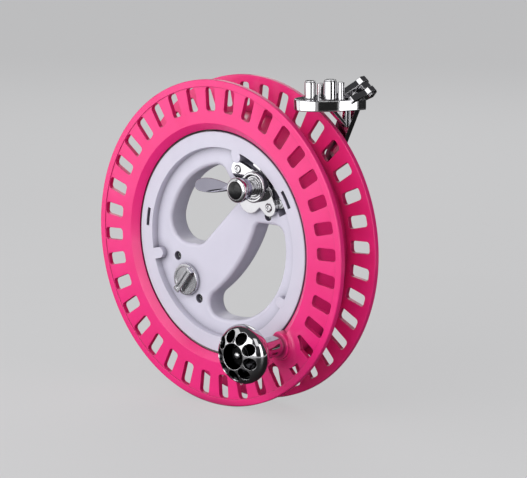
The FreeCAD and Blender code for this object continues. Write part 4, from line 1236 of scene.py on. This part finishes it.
@dataclass
class Crank:
    """The crank: a thick stem on the drum and the pierced oval knob that turns on it."""

    reach: float = 83.6
    angle: float = -45.4
    boss_top: float = -23.5
    knob_radius: float = 19.6
    knob_half: float = 13.3
    front_half: float = 11.2
    knob_centre: float = -56.0
    wall: float = 2.4
    mouth: float = 8.5
    holes: int = 9
    hole_radius: float = 4.0
    hole_tilt: float = 60.0
    hole_phase: float = 26.0
    core: float = 7.2
    core_bore: float = 5.6
    groove_places: tuple[float, ...] = (7.2, 9.4)
    groove_half: float = 0.28
    groove_depth: float = 0.25
    stem_radius: float = 4.0
    shoulder_radius: float = 7.0
    stem_root: float = -16.0
    tip_radius: float = 2.3
    tip_base: float = -60.8
    tip_shoulder: float = -61.7
    tip_dome: float = 1.4

    @property
    def centre(self) -> Vector:
        """Point where the stem's axis meets the drum's middle plane."""
        return polar(self.reach, self.angle)

    @property
    def seat(self) -> float:
        """Place of the step inside the knob that the screw holds."""
        return self.knob_centre - 2.91

    def build(self) -> None:
        """Make and dress the crank's pieces."""
        self.stem()
        self.knob()
        # the screw is near black as painted shade of the knob's hollow
        dress_copy("knob_screw", "crank_screw", SCREW_SHADE_STEEL, Body.DRUM, 0.15)
        button = [(self.tip_radius * math.cos(turn), self.tip_shoulder - self.tip_dome * math.sin(turn))
                  for turn in quarter(6)]
        base = [(0, self.tip_base), (self.tip_radius, self.tip_base)]
        dress(lathe("screw_tip", base + button, self.centre, steps=48), CHROME, Body.DRUM, angle=60)
        # the bush is black as painted shade of the knob's hollow
        paint_solids(BLACK, "crank_bush")

    def stem(self) -> None:
        """Make the stem, thick from the boss to the knob and thin inside them."""
        back = self.knob_centre + self.knob_half * 0.9
        end = self.knob_centre - 2.9
        thin, thick, root = self.stem_radius, self.shoulder_radius, self.stem_root
        stem = turned("crank_pillar", [
            (0, root, 0), (thin, root, 0.3), (thin, self.boss_top, 0), (thick, self.boss_top, 0.4),
            (thick, back + 0.35, 0.7), (thin, back + 0.35, 0.1), (thin, end, 0.3), (0, end, 0),
        ], self.centre)
        dress(stem, CHROME, Body.DRUM, "crank_stem")

    def oval(self, radius: float, halves: Spot, start: float, end: float, steps: int) -> list[Spot]:
        """Points along the knob's oval section, which is flatter in front of its middle.

        Args:
            radius: widest radius.
            halves: depth in front of the middle and behind it.
            start: first angle from the widest place, towards the back, in radians.
            end: last angle.
            steps: runs between them.

        Returns:
            (radius, y) points.
        """
        turns = [start + (end - start) * step / steps for step in range(steps + 1)]
        return [(radius * math.cos(turn), self.knob_centre + halves[turn > 0] * math.sin(turn))
                for turn in turns]

    def knob(self) -> None:
        """Make the hollow knob: shell, mouth, nine holes, and two fine grooves near its back."""
        middle = self.knob_centre
        back = self.knob_half * 0.9
        outside = self.oval(self.knob_radius, (self.front_half, self.knob_half), math.asin(0.9),
                            -math.acos((self.mouth + 0.5) / self.knob_radius), 44)
        grooved = []
        for radius, y in outside:
            near = min(abs(y - middle - place) for place in self.groove_places)
            grooved.append((radius - self.groove_depth if near < self.groove_half else radius, y))
        lip = grooved[-1][1]
        inner_radius = self.knob_radius - self.wall
        halves = (self.front_half - self.wall * 0.8, self.knob_half - self.wall * 0.8)
        core = self.core
        inside = self.oval(inner_radius, halves, -math.acos(self.mouth / inner_radius),
                           math.acos((core + 1) / inner_radius), 32)
        profile = [(self.core_bore, middle + back)] + grooved
        profile += [(self.mouth + 0.1, lip + 0.05), (self.mouth, lip + 0.3)]
        profile += inside + [(core, inside[-1][1]), (core, self.seat), (self.core_bore, self.seat)]
        knob = lathe("crank_ball", profile, self.centre, steps=180, closed=True)
        tilt = math.radians(self.hole_tilt)
        cutters = []
        for index in range(self.holes):
            spoke = polar(1, self.hole_phase + 360.0 * index / self.holes)
            aim = spoke * math.sin(tilt) - ALONG * math.cos(tilt)
            start = self.centre + ALONG * self.knob_centre + aim * (core + 2)
            cutters.append(rod("knob_hole", self.hole_radius, 0, 18, start, aim, steps=48))
        combine(knob, "DIFFERENCE", *cutters)
        modify(knob, "BEVEL", width=0.3 * MM, segments=2, limit_method="ANGLE", angle_limit=math.radians(42))
        middle = self.centre + ALONG * self.knob_centre
        # the knob's inner walls get painted shade
        plating = replace(CHROME, title="pierced_knob_plate", centre=tuple(middle),
                          hollow=(self.knob_radius, self.front_half, self.knob_half - 0.9))
        dress(knob, plating, Body.HANDLE, "crank_knob", angle=40)


# ---------------------------------------------------------------- line guide


@dataclass
class LineGuide:
    """The folding line guide: arm, hinge, eye plate, rollers and posts."""

    pin_x: float = 91.916
    pin_y: float = 25.0
    pin_z: float = 109.154
    drop: float = 13.55
    thickness: float = 7.3
    fork_angle: float = 49.9
    ear: float = 4.4
    rear: float = 20.7
    ear_gap: float = 0.3
    tongue: float = 4.0
    feet: Spot = (8.5, 10.5)
    web_place: float = -13.12
    web_thickness: float = 3.6
    web_depth: float = 14.0
    web_reach: float = 17.0
    web_frame: float = 2.6
    margins: tuple[float, ...] = (10.9, 7.0, 7.6, 8.0)
    swells: tuple[float, ...] = (0.35, 1.1, 0.3, 0.5)
    eye_radius: float = 3.2
    axle_radius: float = 1.6
    axle_bore: float = 1.65
    posts_at: tuple[tuple[Spot, float, float], ...] = (((-5.52, 7.4), 2.2, 11.5), ((-25.92, 10.4), 2.1, 8.5))
    front_place: Spot = (-22.62, -3.3)
    side_place: Spot = (-11.02, 3.1)
    back_place: Spot = (-2.37, 24.0)
    left_place: Spot = (-23.92, 10.4)
    eye_place: Spot = (-18.72, 5.2)

    @property
    def pin(self) -> Vector:
        """Middle of the hinge pin."""
        return Vector((self.pin_x, self.pin_y, self.pin_z))

    @property
    def outwards(self) -> Vector:
        """Direction from the drum's axis through the hinge."""
        return polar(1, self.fork_angle)

    @property
    def aside(self) -> Vector:
        """Direction of the hinge pin."""
        return polar(1, self.fork_angle - 90)

    @property
    def low(self) -> float:
        """Height of the plate's underside."""
        return self.pin_z - self.drop

    @property
    def high(self) -> float:
        """Height of the plate's top."""
        return self.low + self.thickness

    def spot(self, place: Spot) -> Spot:
        """Place on the plate, counted from the hinge pin, as (x, y)."""
        return (self.pin_x + place[0], place[1])

    def build(self) -> None:
        """Make and dress the guide's pieces."""
        self.eye_plate()
        dress_copy("hub_arm", "guide_arm", CHROME, Body.HUB, 0.5)
        dress_copy("arm_screw_heads", "arm_screws", CHROME, Body.HUB, 0.15)
        dress_copy("hinge_pin", "guide_pin", CHROME, Body.HUB, 0.2)
        self.rollers()
        self.posts()

    def eye_plate(self) -> None:
        """Make the swelling plate over the channel, with its web and the two ears of the hinge."""
        corners = (self.front_place, self.side_place, self.back_place, self.left_place)
        circles = [(self.spot(place), margin) for place, margin in zip(corners, self.margins)]
        outline = evened(belt(circles, 24, self.swells), 120, 12)
        plate = flat_slab("eye_plate", outline, self.low, self.high)
        behind = self.rear
        limit = flat_slab("plate_limit", [(0, behind), (200, behind), (200, 80), (0, 80)], 50, 150)
        soften(plate, 0.7, segments=3, angle=50)
        combine(plate, "DIFFERENCE", limit)
        for part in (*self.ears(), self.web()):
            soften(part, 0.4)
            combine(plate, "UNION", part)
        bores = [self.bore("eye_bore", self.eye_place, self.eye_radius, -20)]
        for place in (self.front_place, self.side_place):
            bores.append(self.bore("axle_bore", place, self.axle_radius, 2))
        bores.append(rod("pin_bore", self.axle_bore, -20, 20, self.pin, self.aside, 48))
        mend(combine(plate, "DIFFERENCE", *bores))
        dress(plate, CHROME, Body.GUIDE, "guide_plate")

    def bore(self, name: str, place: Spot, radius: float, start: float) -> Piece:
        """Upright cutter at a place on the plate, from a height over its underside."""
        x, y = self.spot(place)
        return rod(name, radius, self.low + start, self.high + 1, Vector((x, y, 0)), UP, 64)

    def ears(self) -> list[Piece]:
        """Make the two ears that rise from the plate's back end to the hinge pin.

        Returns:
            The ears.
        """
        made = []
        offset = self.tongue / 2 + self.ear_gap + self.ear / 2
        for way, foot in zip((-1, 1), self.feet):
            sunk = (self.low + 1.0 - self.aside.z * way * offset - self.pin_z) / self.outwards.z
            outline = rounded([
                (sunk, foot, 0), (sunk + self.thickness / self.outwards.z, foot - 0.5, 0),
                (1.0, self.pin_y - 4.4, 2.0), (4.2, self.pin_y - 2.4, 1.6), (4.6, self.pin_y + 1.8, 1.6),
                (2.4, self.pin_y + 4.2, 1.4), (-2.6, self.pin_y + 4.2, 1.4), (-6.5, self.rear - 0.2, 0),
                (sunk, self.rear - 0.2, 0),
            ])
            fork = self.pin - ALONG * self.pin_y + self.aside * (way * offset - self.ear / 2)
            made.append(slab("hinge_ear", [fork + self.outwards * r + ALONG * y for r, y in outline],
                             self.aside * self.ear))
        return made

    def web(self) -> Piece:
        """Make the pierced triangular web under the plate."""
        place, top = self.pin_x + self.web_place - self.web_thickness / 2, self.low + 0.5
        back, frame_back = self.rear - 0.4, self.rear - self.web_frame
        outer = [(back, top), (back, top - self.web_depth), (self.rear - self.web_reach, top)]
        inner = [(frame_back, top - 1.0), (frame_back, top - 9.1), (self.rear - 11.3, top - 1.0)]
        web = slab("plate_web", [Vector((place, y, z)) for y, z in outer],
                   Vector((self.web_thickness, 0, 0)))
        window = slab("web_window", [Vector((place - 1, y, z)) for y, z in inner],
                      Vector((self.web_thickness + 2, 0, 0)))
        return combine(web, "DIFFERENCE", window)

    def rollers(self) -> None:
        """Make the two rollers with their axles."""
        base = self.high + 0.2
        for name, place, radius, height, body in (
            ("front", self.front_place, 3.7, 10.6, Body.FRONT_ROLLER),
            ("side", self.side_place, 4.3, 11.8, Body.SIDE_ROLLER),
        ):
            top = base + height
            x, y = self.spot(place)
            centre = Vector((x, y, 0))
            sleeve = turned("sleeve_" + name, [
                (self.axle_bore, base, 0.1), (radius, base, 0.4), (radius, top, 0.2),
                (self.axle_bore, top, 0.1),
            ], centre, UP, 64, closed=True)
            dress(sleeve, CHROME, body, "roller_" + name)
            root, head = self.low + 2, radius - 0.3
            axle = turned("pin_" + name, [
                (0, root, 0), (self.axle_radius, root, 0.2), (self.axle_radius, top + 0.15, 0),
                (head, top + 0.15, 0.1), (head, top + 0.8, 0.2), (0, top + 0.8, 0),
            ], centre, UP, 64)
            dress(axle, CHROME, Body.GUIDE, "axle_" + name)

    def posts(self) -> None:
        """Make the two thin posts."""
        made = []
        for place, radius, height in self.posts_at:
            x, y = self.spot(place)
            top = self.high + height
            made.append(turned("post", [
                (0, self.high, 0), (radius, self.high, 0), (radius, top, 0.5), (0, top, 0),
            ], Vector((x, y, 0)), UP, 48))
        choose(*made)
        bpy.ops.object.join()
        pair = bpy.context.object
        pair.name = "line_posts"
        dress(pair, CHROME, Body.GUIDE, "thin_posts")


# ---------------------------------------------------------------- studio


@dataclass(frozen=True)
class Lamp:
    """One soft rectangular lamp, placed round the winder and aimed at a height over its axis."""

    name: str
    azimuth: float
    distance: float
    height: float
    aim: float
    width: float
    length: float
    glow: float
    mirrored_only: bool = False

    def hang(self) -> None:
        """Put the lamp in the scene."""
        turn = math.radians(self.azimuth)
        place = Vector((math.sin(turn) * self.distance, -math.cos(turn) * self.distance, self.height))
        deselect_all()
        bpy.ops.object.light_add(type="AREA", location=place)
        lamp = bpy.context.object
        lamp.name = self.name
        lamp.rotation_euler = (Vector((0, 0, self.aim)) - place).to_track_quat("-Z", "Y").to_euler()
        lamp.data.shape = "RECTANGLE"
        lamp.data.size = self.width
        lamp.data.size_y = self.length
        lamp.data.energy = self.glow * math.pi * self.width * self.length
        lamp.visible_camera = False
        lamp.visible_diffuse = not self.mirrored_only


@dataclass
class Studio:
    """Pale floor, soft lamps, dark cards that polished metal mirrors, and the camera."""

    azimuth: float = 42.487
    elevation: float = 11.018
    distance: float = 1980.0
    aside: float = 31.44
    above: float = 3.35
    lens: float = 203.16
    floor_height: float = -110.0
    floor_size: float = 80.0
    paper_share: float = 0.6
    lamps: tuple[Lamp, ...] = (
        Lamp("key_panel", 0.0, 1.1, 0.72, 0.0, 1.3, 0.9, 2.05),
        Lamp("front_panel", 5.0, 0.9, 0.15, 0.15, 1.5, 0.5, 2.1),
        Lamp("left_panel", -60.0, 0.74, 0.40, 0.40, 0.6, 1.0, 1.0),
        Lamp("side_strip", 88.5, 0.8, 0.2, 0.2, 0.3, 0.6, 2.6),
        Lamp("back_panel", 215.0, 1.3, 0.7, 0.0, 1.2, 0.8, 1.5),
        Lamp("low_strip", -39.0, 0.62, -0.07, -0.07, 0.14, 0.075, 0.75, mirrored_only=True),
        Lamp("high_strip", 66.0, 0.9, 0.8, 0.0, 0.5, 0.6, 1.3, mirrored_only=True),
    )
    cards: tuple[Spot, ...] = ((50.0, 76.0), (101.0, 170.0), (-130.0, -86.0))
    card_reach: float = 840.0
    card_height: float = 160.0
    sheet_radius: float = 450.0

    def build(self) -> None:
        """Set up the whole studio."""
        self.floor()
        self.world()
        for lamp in self.lamps:
            lamp.hang()
        for start, end in self.cards:
            self.card(start, end)
        self.sheet()
        self.camera()
        bpy.context.scene.view_settings.view_transform = "Standard"

    def floor(self) -> None:
        """Lay a wide pale floor under the drum."""
        deselect_all()
        bpy.ops.mesh.primitive_plane_add(size=self.floor_size, location=(0, 0, self.floor_height * MM))
        plane = bpy.context.object
        plane.name = "studio_floor"
        bpy.ops.object.transform_apply(location=True, rotation=True, scale=True)
        material, board = start_material("pale_floor")
        matt = board.add("ShaderNodeBsdfPrincipled",
                         {"Base Color": (0.40, 0.40, 0.405, 1.0), "Roughness": 0.7})
        paper = board.add("ShaderNodeEmission", {"Color": (0.82, 0.82, 0.83, 1.0), "Strength": 1.0})
        path = board.add("ShaderNodeLightPath").outputs
        seen = board.maths("ADD", path["Is Camera Ray"], path["Is Glossy Ray"])
        seen = board.maths("ADD", seen, path["Is Transmission Ray"])
        share = board.product(board.maths("MINIMUM", seen, 1.0), self.paper_share)
        mixed = board.add("ShaderNodeMixShader", {0: share, 1: matt.outputs[0], 2: paper.outputs[0]})
        board.add("ShaderNodeOutputMaterial", {"Surface": mixed.outputs[0]})
        plane.data.materials.append(material)

    def card(self, start: float, end: float) -> None:
        """Stand a curved dark card on the floor, which only mirrors and polished pieces show.

        Args:
            start: azimuth of its first edge in degrees.
            end: azimuth of its last edge.
        """
        card = begin("dark_card")
        low, high = self.floor_height + 1, self.floor_height + self.card_height
        turn = math.radians(end)
        way = Vector((math.sin(turn), -math.cos(turn), 0)) * self.card_reach
        draw(card, [way + UP * z for z in (low, high)])
        bpy.ops.mesh.spin(steps=16, angle=math.radians(end - start), center=(0, 0, 0), axis=UP)
        bpy.ops.object.mode_set(mode="OBJECT")
        self.darken(card)

    def sheet(self) -> None:
        """Lay a round dark sheet under the winder, which only mirrors and polished pieces show."""
        deselect_all()
        bpy.ops.mesh.primitive_circle_add(
            vertices=64, radius=self.sheet_radius * MM, fill_type="NGON",
            location=(0, 0, (self.floor_height + 1) * MM))
        bpy.ops.object.transform_apply(location=True, rotation=True, scale=True)
        bpy.context.object.name = "dark_sheet"
        self.darken(bpy.context.object)

    def darken(self, card: Piece) -> None:
        """Make a card black and hide it from everything but reflections."""
        material = bpy.data.materials.get("dark_card") or bpy.data.materials.new("dark_card")
        material.use_nodes = True
        surface = material.node_tree.nodes["Principled BSDF"]
        surface.inputs["Base Color"].default_value = (0.02, 0.02, 0.02, 1.0)
        card.data.materials.append(material)
        for ray in ("camera", "diffuse", "shadow", "transmission"):
            setattr(card, "visible_" + ray, False)

    def world(self) -> None:
        """Light the room dimly all round."""
        world = bpy.data.worlds.new("studio_room")
        world.use_nodes = True
        background = world.node_tree.nodes["Background"]
        background.inputs["Color"].default_value = (0.07, 0.07, 0.075, 1.0)
        background.inputs["Strength"].default_value = 1.0
        bpy.context.scene.world = world

    def camera(self) -> None:
        """Place the camera."""
        turn, lift = math.radians(self.azimuth), math.radians(self.elevation)
        way = Vector((math.sin(turn) * math.cos(lift), -math.cos(turn) * math.cos(lift), math.sin(lift)))
        right = Vector((math.cos(turn), math.sin(turn), 0))
        upward = right.cross(-way)
        place = Vector((0, -19, 0)) + way * self.distance + right * self.aside + upward * self.above
        deselect_all()
        bpy.ops.object.camera_add(location=place * MM)
        camera = bpy.context.object
        camera.rotation_euler = (-way).to_track_quat("-Z", "Y").to_euler()
        camera.data.sensor_width = 36
        camera.data.lens = self.lens
        bpy.context.scene.camera = camera


def main() -> None:
    """Build the winder and its studio."""
    logging.basicConfig(level=logging.INFO, format="%(name)s: %(message)s")
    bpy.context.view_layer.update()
    for assembly in (Drum(), Hub(), Brake(), Crank(), LineGuide(), Studio()):
        assembly.build()


if __name__ == "__main__":
    main()
